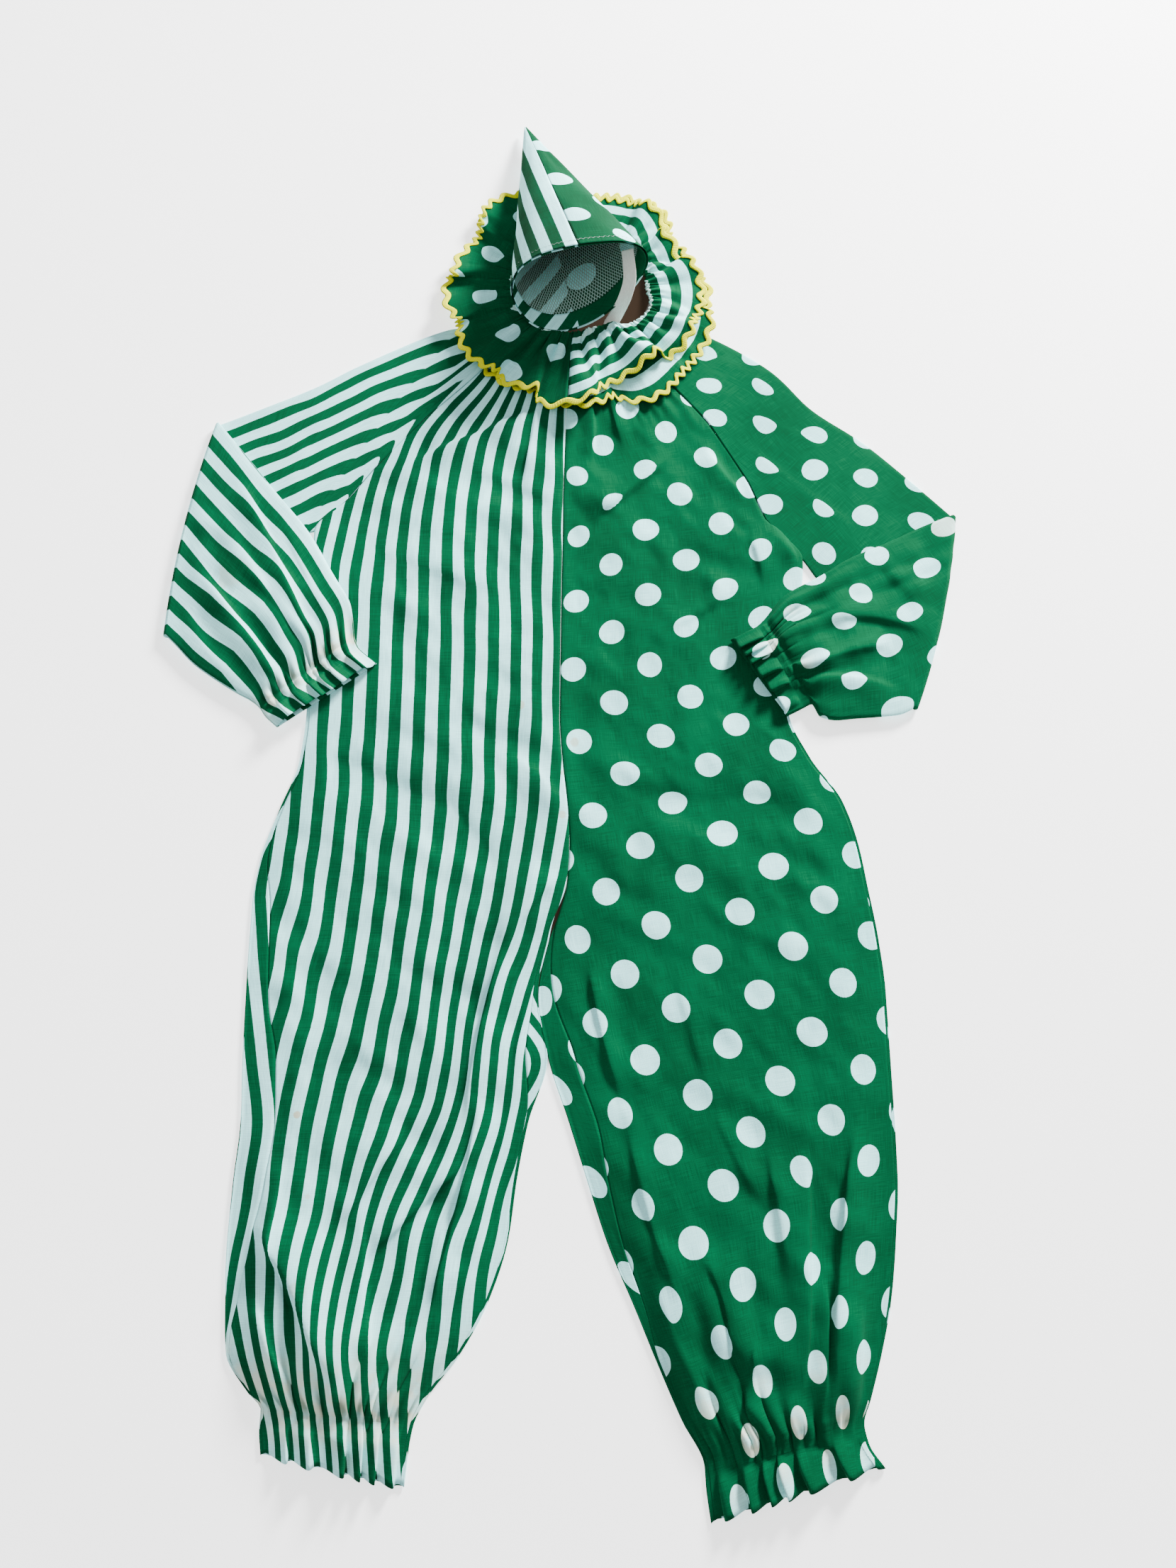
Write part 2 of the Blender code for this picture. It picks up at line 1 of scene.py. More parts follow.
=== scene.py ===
# %% [markdown]
# # A clown costume laid flat
# A jumpsuit, a double ruffle collar and a cone hat lie together on a pale floor. One
# half of each is striped and the other half is dotted. Cloth this thin is all surface:
# its look comes from where the folds lie, how the pattern runs over them, and how the
# edges are gathered. So each cut piece is a fine grid that is given its places in code,
# with its own cloth coordinates, and a thin wall at the end.

# %% Load the frame
import math
from collections import namedtuple

import bpy
import numpy as np
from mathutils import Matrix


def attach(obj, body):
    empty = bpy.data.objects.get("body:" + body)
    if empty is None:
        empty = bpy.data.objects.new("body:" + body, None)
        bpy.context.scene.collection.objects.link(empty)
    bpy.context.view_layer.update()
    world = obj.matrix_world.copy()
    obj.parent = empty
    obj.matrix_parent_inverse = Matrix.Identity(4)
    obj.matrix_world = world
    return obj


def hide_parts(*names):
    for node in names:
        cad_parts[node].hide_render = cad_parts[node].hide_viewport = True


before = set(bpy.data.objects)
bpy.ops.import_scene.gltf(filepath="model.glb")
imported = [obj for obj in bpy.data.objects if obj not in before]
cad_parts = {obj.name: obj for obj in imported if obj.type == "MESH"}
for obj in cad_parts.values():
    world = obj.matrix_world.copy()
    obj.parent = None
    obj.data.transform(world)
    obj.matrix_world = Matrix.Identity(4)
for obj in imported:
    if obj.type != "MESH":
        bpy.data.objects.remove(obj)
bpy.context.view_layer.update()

print("nodes:", ", ".join(sorted(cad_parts)))

# %% [markdown]
# ## Materials from nodes
# Every material here is built from the same few nodes: maths, smooth steps, mixes and
# noise. A small class holds a material's nodes and adds them.

# %% Node helpers
class Paint:
    """A material, with short ways to add its nodes."""

    def __init__(self, name, roughness, sheen=0.0, specular=0.03):
        self.material = bpy.data.materials.new(name)
        self.material.use_nodes = True
        self.nodes = self.material.node_tree.nodes
        self.links = self.material.node_tree.links
        self.shader = self.nodes["Principled BSDF"]
        for socket, value in (("Roughness", roughness), ("Sheen Weight", sheen),
                              ("Sheen Roughness", 0.5), ("Specular IOR Level", specular)):
            self.shader.inputs[socket].default_value = value

    def add(self, kind, inputs=(), **settings):
        """A node of a kind, with pairs of a socket and what goes into it."""
        node = self.nodes.new("ShaderNode" + kind)
        for label, setting in settings.items():
            setattr(node, label, setting)
        for socket, value in inputs:
            if isinstance(value, bpy.types.NodeSocket):
                self.links.new(value, node.inputs[socket])
            else:
                node.inputs[socket].default_value = value
        return node

    def math(self, operation, *values):
        return self.add("Math", enumerate(values), operation=operation).outputs[0]

    def distance(self, place, centre):
        return self.add("VectorMath", [(0, place), (1, centre)], operation="DISTANCE").outputs["Value"]

    def step(self, value, low, high, to_low=0.0, to_high=1.0):
        ends = [("Value", value), ("From Min", low), ("From Max", high),
                ("To Min", to_low), ("To Max", to_high)]
        return self.add("MapRange", ends, interpolation_type="SMOOTHSTEP").outputs["Result"]

    def mix(self, factor, a, b):
        return self.add("Mix", [(0, factor), (6, a), (7, b)], data_type="RGBA").outputs[2]

    def noise(self, vector, scale, stretch=(1, 1, 1), detail=2.0):
        mapped = self.add("Mapping", [("Vector", vector), ("Scale", stretch)]).outputs[0]
        return self.add("TexNoise", [("Vector", mapped), ("Scale", scale), ("Detail", detail)]).outputs["Fac"]

    def attribute(self, name):
        return self.add("Attribute", attribute_name=name).outputs["Fac"]

    def place(self):
        return self.add("TexCoord").outputs["Object"]

    def cloth(self):
        """Cloth coordinates, then their parts across and along the grain."""
        uv = self.add("UVMap", uv_map="cloth").outputs[0]
        parts = self.add("SeparateXYZ", [(0, uv)]).outputs
        return uv, parts[0], parts[1]

    def finish(self, colour, relief, strength, distance):
        """The material, with its colour and a bump."""
        bump = self.add("Bump", [("Height", relief), ("Strength", strength), ("Distance", distance)])
        self.links.new(colour, self.shader.inputs["Base Color"])
        self.links.new(bump.outputs[0], self.shader.inputs["Normal"])
        return self.material


# %% [markdown]
# ## Camera, floor and light
# The costume is seen from above with the camera tipped a little, so the
# head end is further away. A wide soft light from the head end leaves a soft shadow
# on the near side of every fold, and a pale floor sends light back under the edges.
# Two patches of the floor have painted shade, near black, where it lies in shadow: inside the collar and
# beside the crotch.

# %% Camera
camera_data = bpy.data.cameras.new("camera")
camera_data.sensor_width = 36
camera_data.lens = 33.85
camera = bpy.data.objects.new("camera", camera_data)
camera.location = (0.0269, -0.6690, 1.5832)
camera.rotation_euler = (math.radians(20), 0, 0)
bpy.context.scene.collection.objects.link(camera)
bpy.context.scene.camera = camera
print("camera at", tuple(camera.location))

# %% Floor and lights
bpy.ops.object.select_all(action="DESELECT")
bpy.ops.mesh.primitive_plane_add(size=14, location=(0, 0, -0.0004))
floor = bpy.context.object
floor.name = "floor"
# Painted shade: near these spots the floor's colour and glow fall to near black, standing in for the shadow
# inside the collar and in the gap beside the crotch.
SHADE_PATCHES = [(0.018, 0.594, 0), (-0.020, -0.310, 0)]
SHADE_PATCH_EDGE = [(0.092, (0.014, 0.009, 0.006, 1)), (0.108, (0.90, 0.90, 0.90, 1))]
floor_paint = Paint("floor_paint", 0.9, specular=0.0)
floor_place = floor_paint.place()
from_shade_patch = floor_paint.math("MINIMUM", *[floor_paint.distance(floor_place, spot) for spot in SHADE_PATCHES])
shade_board = floor_paint.add("ValToRGB", [(0, from_shade_patch)])
for stop, (position, colour) in zip(shade_board.color_ramp.elements, SHADE_PATCH_EDGE):
    stop.position, stop.color = position, colour
for socket in ("Base Color", "Emission Color"):
    floor_paint.links.new(shade_board.outputs[0], floor_paint.shader.inputs[socket])
floor_paint.shader.inputs["Emission Strength"].default_value = 1.8
floor.data.materials.append(floor_paint.material)

Lamp = namedtuple("Lamp", "name x y z size power")
LAMPS = [Lamp("window", 1.90, 2.75, 1.30, 0.8, 780), Lamp("ceiling", -0.9, -0.6, 2.6, 2.6, 26)]
for lamp in LAMPS:
    light = bpy.data.lights.new(lamp.name, "AREA")
    light.size = lamp.size
    light.energy = lamp.power
    holder = bpy.data.objects.new(lamp.name, light)
    holder.location = (lamp.x, lamp.y, lamp.z)
    holder.rotation_euler = (-holder.location).to_track_quat("-Z", "Y").to_euler()
    bpy.context.scene.collection.objects.link(holder)

world = bpy.data.worlds.new("studio")
world.use_nodes = True
sky = world.node_tree.nodes["Background"]
sky.inputs["Color"].default_value = (1, 1, 1, 1)
sky.inputs["Strength"].default_value = 0.60
bpy.context.scene.world = world
print("lamps:", len(LAMPS))

# %% [markdown]
# ## Helpers for laying cloth
# A sheet is a grid primitive whose vertices are moved to a table of places. Its UV
# map holds cloth coordinates in metres, across the grain and along it, so stripes and
# dots stay the size they were printed wherever the cloth goes.

# %% Tables, curves and soft noise
def table(kind, rows):
    """Rows of numbers as a table with named columns."""
    return [kind(*row) for row in rows]


def bell(value, width):
    """1 at 0, falling away smoothly on both sides."""
    return np.exp(-(value / width) ** 2)


def unit(vectors):
    return vectors / np.linalg.norm(vectors, axis=-1, keepdims=True)


def run_length(places):
    """Distance travelled at each of a line's places."""
    return np.concatenate([[0], np.cumsum(np.linalg.norm(np.diff(places, axis=0), axis=1))])


def ease(low, high, value):
    """Ease from 0 at low to 1 at high."""
    t = np.clip((value - low) / (high - low), 0.0, 1.0)
    return t * t * (3 - 2 * t)


def through(knots, values, at):
    """A curve through values at knots that doesn't overshoot them."""
    knots = np.asarray(knots, float)
    values = np.asarray(values, float)
    step = np.diff(knots)
    slope = np.diff(values) / step
    tangent = np.concatenate([slope[:1], np.zeros(len(slope) - 1), slope[-1:]])
    for k in range(1, len(slope)):
        if slope[k - 1] * slope[k] > 0:
            left = 2 * step[k] + step[k - 1]
            right = step[k] + 2 * step[k - 1]
            tangent[k] = (left + right) / (left / slope[k - 1] + right / slope[k])
    k = np.clip(np.searchsorted(knots, at, side="right") - 1, 0, len(step) - 1)
    t = (at - knots[k]) / step[k]
    return ((1 + 2 * t) * (1 - t) ** 2 * values[k] + t * (1 - t) ** 2 * step[k] * tangent[k]
            + t * t * (3 - 2 * t) * values[k + 1] - t * t * (1 - t) * step[k] * tangent[k + 1])


def soft_noise(x, y, seed):
    """Smooth random numbers from -1 to 1, one hump to each unit of x and y."""
    table = np.random.RandomState(int(seed * 10)).uniform(-1, 1, (64, 64))
    ix = np.floor(x).astype(int)
    iy = np.floor(y).astype(int)
    tx = ease(0, 1, x - ix)
    ty = ease(0, 1, y - iy)

    def corner(a, b):
        return table[(ix + a) % 64, (iy + b) % 64]

    near = corner(0, 0) * (1 - tx) + corner(1, 0) * tx
    far = corner(0, 1) * (1 - tx) + corner(1, 1) * tx
    return near * (1 - ty) + far * ty


def slanted_noise(x, y, width, length, seed):
    """Soft noise in streaks that run down and to the right."""
    return soft_noise((0.8 * x + 0.6 * y) / width, (0.8 * y - 0.6 * x) / length, seed)


def wrinkles(x, y, seed):
    """Low waves of cloth that has been folded away and laid out again."""
    return (0.0012 * soft_noise(x / 0.11, y / 0.13, seed)
            + 0.0017 * slanted_noise(x, y, 0.034, 0.10, seed + 1)
            + 0.0011 * soft_noise(x / 0.020, y / 0.07, seed + 2)
            + 0.0015 * soft_noise((0.9 * y + 0.4 * x) / 0.022, (0.9 * x - 0.4 * y) / 0.080, seed + 4)
            + 0.0006 * slanted_noise(x, y, 0.012, 0.030, seed + 3))


# %% A grid laid as a sheet
WALL = 0.0005


def weld(threshold):
    """Join the active piece's vertices that lie in one place."""
    bpy.ops.object.mode_set(mode="EDIT")
    bpy.ops.mesh.select_all(action="SELECT")
    bpy.ops.mesh.remove_doubles(threshold=threshold)
    bpy.ops.object.mode_set(mode="OBJECT")


def build_mesh(name, spots, faces):
    """A piece from its places and faces."""
    mesh = bpy.data.meshes.new(name)
    mesh.from_pydata(np.array(spots).tolist(), [], faces)
    piece = bpy.data.objects.new(name, mesh)
    bpy.context.scene.collection.objects.link(piece)
    bpy.ops.object.select_all(action="DESELECT")
    piece.select_set(True)
    bpy.context.view_layer.objects.active = piece
    return piece


def lay_sheet(name, places, cloth, wall=WALL, closed=False, age=None, pucker=None):
    """A sheet through rows of places, with cloth coordinates, a wall, an age and pucker depths that paint
    shade on the cloth.
    """
    rows, columns = places.shape[:2]
    bpy.ops.object.select_all(action="DESELECT")
    bpy.ops.mesh.primitive_grid_add(x_subdivisions=columns - 1, y_subdivisions=rows - 1, size=2)
    piece = bpy.context.object
    piece.name = piece.data.name = name
    mesh = piece.data
    flat = np.empty(len(mesh.vertices) * 3)
    mesh.vertices.foreach_get("co", flat)
    flat = flat.reshape(-1, 3)
    column = np.rint((flat[:, 0] + 1) / 2 * (columns - 1)).astype(int)
    row = np.rint((1 - flat[:, 1]) / 2 * (rows - 1)).astype(int)
    mesh.vertices.foreach_set("co", places[row, column].ravel())
    corner = np.empty(len(mesh.loops), int)
    mesh.loops.foreach_get("vertex_index", corner)
    mesh.uv_layers[0].name = "cloth"
    mesh.uv_layers[0].data.foreach_set("uv", cloth[row, column][corner].ravel())
    for label, amount in (("age", age), ("pucker", pucker)):
        amount = np.zeros(places.shape[:2]) if amount is None else amount
        mesh.attributes.new(label, "FLOAT", "POINT").data.foreach_set("value", amount[row, column])
    mesh.update()
    if closed:
        weld(1e-6)
    solidify = piece.modifiers.new("wall", "SOLIDIFY")
    solidify.thickness = wall
    solidify.offset = 0
    bpy.ops.object.modifier_apply(modifier="wall")
    bpy.ops.object.shade_smooth()
    area = sum(face.area for face in piece.data.polygons) / 2
    print(f"{name}: {rows} x {columns} places, {area:.3f} square metres")


def cloth_map(marks):
    """A smooth map from a place to its cloth coordinates, exact at every mark."""
    place = np.array([(mark.x, mark.y) for mark in marks])
    cloth = np.array([(mark.across, mark.along) for mark in marks])

    def bend(distance):
        return distance ** 2 * np.log(np.maximum(distance, 1e-9))

    count = len(marks)
    flat = np.column_stack([np.ones(count), place])
    left = np.zeros((count + 3, count + 3))
    left[:count, :count] = bend(np.linalg.norm(place[:, None] - place[None], axis=2))
    left[:count, :count] += np.eye(count) * 2e-5
    left[:count, count:] = flat
    left[count:, :count] = flat.T
    weights = np.linalg.solve(left, np.vstack([cloth, np.zeros((3, 2))]))

    def at(x, y):
        base, by_x, by_y = weights[count:]
        result = base + x[..., None] * by_x + y[..., None] * by_y
        for (px, py), weight in zip(place, weights):
            result = result + bend(np.hypot(x - px, y - py))[..., None] * weight
        return result

    return at


# %% [markdown]
# ## Creases
# Each main crease is a curved line with a width, a height and the length of cloth
# that is tucked away in it. Crossing the line, the print jumps by the tucked length,
# which cuts dots and makes stripes jog. One side of a crease is steep, and its crest
# leans over that side.

# %% Creases: tables and what they do
Crease = namedtuple("Crease", "x0 y0 x1 y1 x2 y2 width height tuck")
RIGHT_CREASES = table(Crease, [
    (-0.200, 0.322, -0.114, 0.362, -0.035, 0.404, 0.016, 0.0052, 0.012),
    (-0.128, 0.318, -0.069, 0.291, -0.010, 0.263, 0.016, -0.0023, 0.004),
    (-0.250, 0.225, -0.162, 0.190, -0.050, 0.150, 0.030, 0.0032, -0.003),
    (-0.029, 0.430, -0.040, 0.356, -0.052, 0.290, 0.012, 0.0032, -0.004),
    (-0.012, 0.440, -0.016, 0.390, -0.020, 0.330, 0.009, 0.0026, 0.003),
    (-0.300, -0.066, -0.222, -0.087, -0.140, -0.127, 0.030, -0.0036, 0.004),
    (-0.165, -0.100, -0.111, -0.147, -0.070, -0.200, 0.030, -0.0032, 0.003),
    (-0.075, -0.060, -0.029, -0.093, 0.000, -0.140, 0.020, 0.0032, 0.003),
    (0.001, -0.195, -0.057, -0.262, -0.084, -0.380, 0.020, 0.0061, 0.006),
    (-0.066, -0.265, -0.084, -0.384, -0.100, -0.475, 0.014, 0.0067, -0.007),
    (0.000, -0.216, -0.030, -0.318, -0.052, -0.470, 0.015, 0.0072, -0.007),
    (-0.048, -0.440, -0.066, -0.520, -0.100, -0.620, 0.014, 0.0070, -0.006),
    (-0.162, -0.475, -0.199, -0.521, -0.240, -0.590, 0.018, 0.0067, 0.008),
    (-0.080, -0.490, -0.148, -0.550, -0.208, -0.612, 0.018, 0.0067, 0.006),
    (-0.079, -0.430, -0.100, -0.561, -0.142, -0.710, 0.017, 0.0081, -0.007),
    (-0.053, -0.500, -0.078, -0.597, -0.118, -0.700, 0.015, 0.0064, -0.006),
    (-0.324, -0.560, -0.256, -0.636, -0.212, -0.745, 0.036, 0.0150, -0.010),
    (-0.209, -0.560, -0.203, -0.644, -0.184, -0.722, 0.014, 0.0067, 0.006),
    (-0.290, -0.500, -0.296, -0.600, -0.262, -0.712, 0.014, 0.0043, 0.004),
    (-0.314, -0.640, -0.298, -0.690, -0.270, -0.735, 0.010, 0.0058, 0.004),
])
LEFT_CREASES = table(Crease, [
    (0.134, 0.348, 0.083, 0.300, 0.022, 0.244, 0.018, 0.0056, 0.019),
    (0.024, 0.440, 0.030, 0.390, 0.028, 0.330, 0.010, 0.0038, 0.005),
    (0.052, 0.440, 0.062, 0.400, 0.072, 0.350, 0.011, 0.0038, -0.005),
    (0.170, 0.350, 0.190, 0.310, 0.228, 0.262, 0.016, 0.0035, 0.005),
    (0.123, 0.102, 0.158, 0.126, 0.201, 0.154, 0.014, 0.0032, -0.008),
    (0.246, 0.250, 0.262, 0.219, 0.280, 0.175, 0.014, 0.0049, 0.006),
    (0.225, 0.235, 0.238, 0.190, 0.244, 0.140, 0.016, 0.0038, -0.004),
    (0.060, -0.092, 0.158, -0.120, 0.287, -0.117, 0.034, -0.0041, 0.004),
    (0.214, -0.010, 0.242, -0.031, 0.280, -0.060, 0.018, 0.0038, -0.004),
    (0.128, -0.316, 0.143, -0.374, 0.166, -0.460, 0.022, 0.0038, -0.003),
    (0.166, -0.460, 0.182, -0.500, 0.214, -0.560, 0.018, 0.0038, -0.003),
    (0.030, -0.300, 0.044, -0.370, 0.066, -0.460, 0.012, 0.0046, -0.008),
    (0.070, -0.470, 0.092, -0.560, 0.124, -0.660, 0.014, 0.0046, -0.007),
    (0.250, -0.500, 0.243, -0.610, 0.230, -0.770, 0.016, 0.0081, 0.010),
    (0.314, -0.470, 0.293, -0.600, 0.271, -0.770, 0.017, 0.0090, -0.012),
    (0.216, -0.500, 0.226, -0.560, 0.228, -0.640, 0.014, 0.0049, -0.004),
    (0.141, -0.600, 0.171, -0.656, 0.174, -0.745, 0.018, 0.0072, -0.008),
    (0.197, -0.680, 0.194, -0.728, 0.184, -0.782, 0.013, 0.0067, -0.010),
    (0.096, -0.640, 0.112, -0.697, 0.146, -0.763, 0.015, 0.0067, 0.009),
    (0.262, -0.620, 0.260, -0.690, 0.254, -0.770, 0.012, 0.0067, 0.008),
    (0.300, -0.640, 0.294, -0.700, 0.286, -0.762, 0.012, 0.0058, 0.005),
])


def crease_lines(x, y, creases):
    """What the creases do at places: height, cloth shift, and sideways lean."""
    height = np.zeros_like(x)
    shift = np.zeros(x.shape + (2,))
    lean = np.zeros(x.shape + (2,))
    t = np.linspace(0, 1, 15)[:, None]
    for crease in creases:
        start, by, end = np.array(crease[:6]).reshape(3, 2)
        middle = 2 * by - (start + end) / 2
        path = (1 - t) ** 2 * start + 2 * t * (1 - t) * middle + t * t * end
        low, high = path.min(0) - 4 * crease.width, path.max(0) + 4 * crease.width
        near = (x > low[0]) & (x < high[0]) & (y > low[1]) & (y < high[1])
        place = np.column_stack([x[near], y[near]])
        if not len(place):
            continue
        step = np.diff(path, axis=0)
        offset = place[:, None] - path[None, :-1]
        raw = (offset * step).sum(2) / (step ** 2).sum(1)
        on = np.clip(raw, 0, 1)
        away = offset - on[..., None] * step
        nearest = np.argmin((away ** 2).sum(2), axis=1)
        pick = np.arange(len(place))
        direction = unit(step[nearest])
        side = np.column_stack([-direction[:, 1], direction[:, 0]])
        distance = (away[pick, nearest] * side).sum(1)
        beyond = np.linalg.norm(away[pick, nearest] - distance[:, None] * side, axis=1)
        share = (nearest + on[pick, nearest]) / len(step)
        strength = (np.minimum(ease(0, 0.3, share), 1 - ease(0.7, 1, share)) + 0.12) / 1.12
        strength *= bell(beyond, crease.width)
        steep = np.sign(crease.tuck)
        reach = np.where(distance * steep > 0, 0.45, 1.0) * crease.width
        bump = strength * bell(distance, reach)
        height[near] += crease.height * bump
        lean[near] += side * (steep * 0.8 * max(crease.height, 0) * bump)[:, None]
        jump = np.tanh((distance - steep * 0.25 * crease.width) / 0.0040)
        fade = bell(distance, 1.7 * crease.width)
        shift[near] += side * (abs(crease.tuck) * 0.5 * strength * jump * fade)[:, None]
    return height, shift, lean


print("creases:", len(RIGHT_CREASES), "striped,", len(LEFT_CREASES), "dotted")

# %% [markdown]
# ## Cut of the jumpsuit
# These are the sections of the flat jumpsuit from neck to hem, with how far the back
# cloth rolls over the top at each side. The first six end at the raglan seam, and the
# first twelve at the centre seam; all other ends are folds. Marks then say which point
# of the cloth lies at which place.

# %% Section tables
Section = namedtuple("Section", "outer_x outer_y inner_x inner_y roll_outer roll_inner")
RIGHT_SECTIONS = table(Section, [
    (-0.092, 0.482, 0.000, 0.478, 0, 0),
    (-0.128, 0.443, 0.000, 0.440, 0, 0),
    (-0.176, 0.394, -0.001, 0.390, 0, 0),
    (-0.238, 0.319, -0.003, 0.310, 0, 0),
    (-0.266, 0.279, -0.004, 0.270, 0, 0),
    (-0.306, 0.234, -0.004, 0.232, 0, 0),
    (-0.306, 0.150, -0.005, 0.150, 0.003, 0),
    (-0.300, -0.010, -0.006, -0.010, 0.003, 0),
    (-0.304, -0.065, -0.003, -0.060, 0.003, 0),
    (-0.323, -0.125, 0.003, -0.115, 0.003, 0),
    (-0.340, -0.184, 0.006, -0.165, 0.008, 0),
    (-0.345, -0.232, 0.003, -0.213, 0.019, 0),
    (-0.345, -0.285, -0.0160, -0.275, 0.022, 0.003),
    (-0.344, -0.345, -0.0278, -0.338, 0.025, 0.005),
    (-0.342, -0.410, -0.0165, -0.405, 0.036, 0.022),
    (-0.339, -0.475, -0.036, -0.472, 0.036, 0.003),
    (-0.342, -0.535, -0.047, -0.530, 0.033, 0.003),
    (-0.343, -0.595, -0.055, -0.590, 0.025, 0.003),
    (-0.340, -0.650, -0.074, -0.650, 0.014, 0.003),
    (-0.335, -0.700, -0.104, -0.704, 0.003, 0.003),
    (-0.311, -0.735, -0.134, -0.742, 0.003, 0.003),
    (-0.296, -0.752, -0.146, -0.766, 0.003, 0.003),
    (-0.297, -0.766, -0.148, -0.780, 0.003, 0.003),
    (-0.294, -0.792, -0.152, -0.822, 0.003, 0.003),
])
LEFT_SECTIONS = table(Section, [
    (0.095, 0.486, 0.000, 0.478, 0, 0),
    (0.132, 0.442, 0.000, 0.440, 0, 0),
    (0.176, 0.388, -0.001, 0.390, 0, 0),
    (0.224, 0.301, -0.003, 0.310, 0, 0),
    (0.243, 0.250, -0.004, 0.270, 0, 0),
    (0.286, 0.196, -0.004, 0.232, 0, 0),
    (0.280, 0.125, -0.005, 0.150, 0.003, 0),
    (0.260, -0.005, -0.006, -0.010, 0.003, 0),
    (0.281, -0.060, -0.003, -0.060, 0.003, 0),
    (0.316, -0.115, 0.003, -0.115, 0.003, 0),
    (0.331, -0.167, 0.006, -0.165, 0.003, 0),
    (0.338, -0.215, 0.003, -0.213, 0.003, 0),
    (0.346, -0.275, -0.0150, -0.275, 0.003, 0.003),
    (0.350, -0.335, -0.0268, -0.338, 0.003, 0.016),
    (0.350, -0.400, -0.0155, -0.405, 0.003, 0.028),
    (0.350, -0.465, 0.006, -0.470, 0.003, 0.029),
    (0.349, -0.528, 0.027, -0.535, 0.003, 0.021),
    (0.343, -0.588, 0.047, -0.595, 0.003, 0.015),
    (0.334, -0.648, 0.073, -0.655, 0.003, 0.010),
    (0.321, -0.700, 0.097, -0.712, 0.003, 0.003),
    (0.308, -0.742, 0.120, -0.762, 0.003, 0.003),
    (0.300, -0.766, 0.141, -0.802, 0.003, 0.003),
    (0.303, -0.780, 0.142, -0.820, 0.003, 0.003),
    (0.318, -0.802, 0.146, -0.852, 0.003, 0.003),
])

FIRST_FOLDS = (6, 12)           # the first section with a fold at its outer and its inner end
CROWN = ([0.0015] * 7 + [0.002, 0.0025] + [0.003] * 5
         + [0.0035, 0.004, 0.005, 0.006, 0.008, 0.010, 0.010, 0.006, 0.007, 0.005])

# %% Marks: which point of the cloth lies where
Mark = namedtuple("Mark", "x y across along")
STRIPE_MARKS = table(Mark, [
    (-0.004, 0.480, 0.0097, 0.52), (-0.044, 0.480, 0.0901, 0.52), (-0.095, 0.480, 0.1973, 0.52),
    (-0.0075, 0.382, 0.0097, 0.39), (-0.070, 0.382, 0.0901, 0.39), (-0.164, 0.382, 0.1973, 0.39),
    (-0.0095, 0.301, 0.0097, 0.30), (-0.085, 0.301, 0.0901, 0.30), (-0.189, 0.301, 0.1973, 0.30),
    (-0.0097, 0.150, 0.0097, 0.15), (-0.1973, 0.150, 0.1973, 0.15), (-0.3045, 0.150, 0.3045, 0.15),
    (-0.0097, -0.050, 0.0097, -0.05), (-0.1973, -0.050, 0.1973, -0.05), (-0.3045, -0.050, 0.3045, -0.05),
    (-0.014, -0.141, 0.0097, -0.14), (-0.1985, -0.160, 0.1973, -0.16), (-0.3060, -0.160, 0.3045, -0.16),
    (-0.040, -0.272, 0.0097, -0.27), (-0.105, -0.272, 0.0901, -0.27), (-0.3195, -0.272, 0.3045, -0.27),
    (-0.072, -0.396, 0.0097, -0.40), (-0.123, -0.396, 0.0901, -0.40), (-0.3375, -0.396, 0.3045, -0.40),
    (-0.131, -0.456, 0.0901, -0.46), (-0.238, -0.456, 0.1973, -0.46),
    (-0.176, -0.571, 0.0901, -0.57), (-0.250, -0.571, 0.1973, -0.57), (-0.3475, -0.571, 0.3045, -0.57),
    (-0.120, -0.690, 0.0000, -0.69), (-0.195, -0.700, 0.0901, -0.70), (-0.254, -0.700, 0.1973, -0.70),
    (-0.340, -0.690, 0.3300, -0.69),
    (-0.150, -0.790, 0.0300, -0.79), (-0.222, -0.780, 0.1600, -0.79), (-0.294, -0.775, 0.3100, -0.79),
])
HALF_REPEAT = 0.047             # of the dots, across and along


def dot_marks(rows):
    """Marks from rows of x, y and how many half repeats across and along."""
    return [Mark(x, y, across * HALF_REPEAT, along * HALF_REPEAT) for x, y, across, along in rows]


DOT_MARKS = dot_marks([
    (0.014, 0.310, 0, 6), (0.045, 0.354, 1, 7), (0.124, 0.374, 3, 7), (0.173, 0.335, 4, 6),
    (0.097, 0.234, 2, 4), (0.190, 0.242, 4, 4), (0.140, 0.283, 3, 5), (0.236, 0.205, 5, 3),
    (0.054, 0.098, 1, 1), (0.144, 0.105, 3, 1), (0.009, 0.049, 0, 0), (0.185, 0.063, 4, 0),
    (0.016, -0.042, 0, -2), (0.110, -0.036, 2, -2), (0.251, -0.053, 5, -3), (0.165, -0.071, 3, -3),
    (0.032, -0.133, 0, -4), (0.124, -0.117, 2, -4), (0.275, -0.140, 5, -5),
    (0.048, -0.222, 0, -6), (0.140, -0.207, 2, -6), (0.234, -0.193, 4, -6),
    (0.067, -0.315, 0, -8), (0.158, -0.298, 2, -8), (0.251, -0.284, 4, -8),
    (0.088, -0.408, 0, -10), (0.177, -0.390, 2, -10), (0.267, -0.378, 4, -10),
    (0.036, -0.369, -1, -9), (0.060, -0.464, -1, -11), (0.112, -0.501, 0, -12), (0.197, -0.483, 2, -12),
    (0.320, -0.418, 5, -11), (0.136, -0.594, 0, -14), (0.219, -0.578, 2, -14), (0.312, -0.609, 5, -15),
    (0.109, -0.654, -1, -15), (0.159, -0.690, 0, -16), (0.142, -0.745, -1, -17), (0.200, -0.725, 1, -17),
    (0.174, -0.834, -1, -19), (0.217, -0.815, 1, -19), (0.262, -0.803, 3, -19), (0.299, -0.797, 5, -19),
])
stripe_map = cloth_map(STRIPE_MARKS)
dot_map = cloth_map(DOT_MARKS)
print("marks:", len(STRIPE_MARKS), "striped,", len(DOT_MARKS), "dotted")

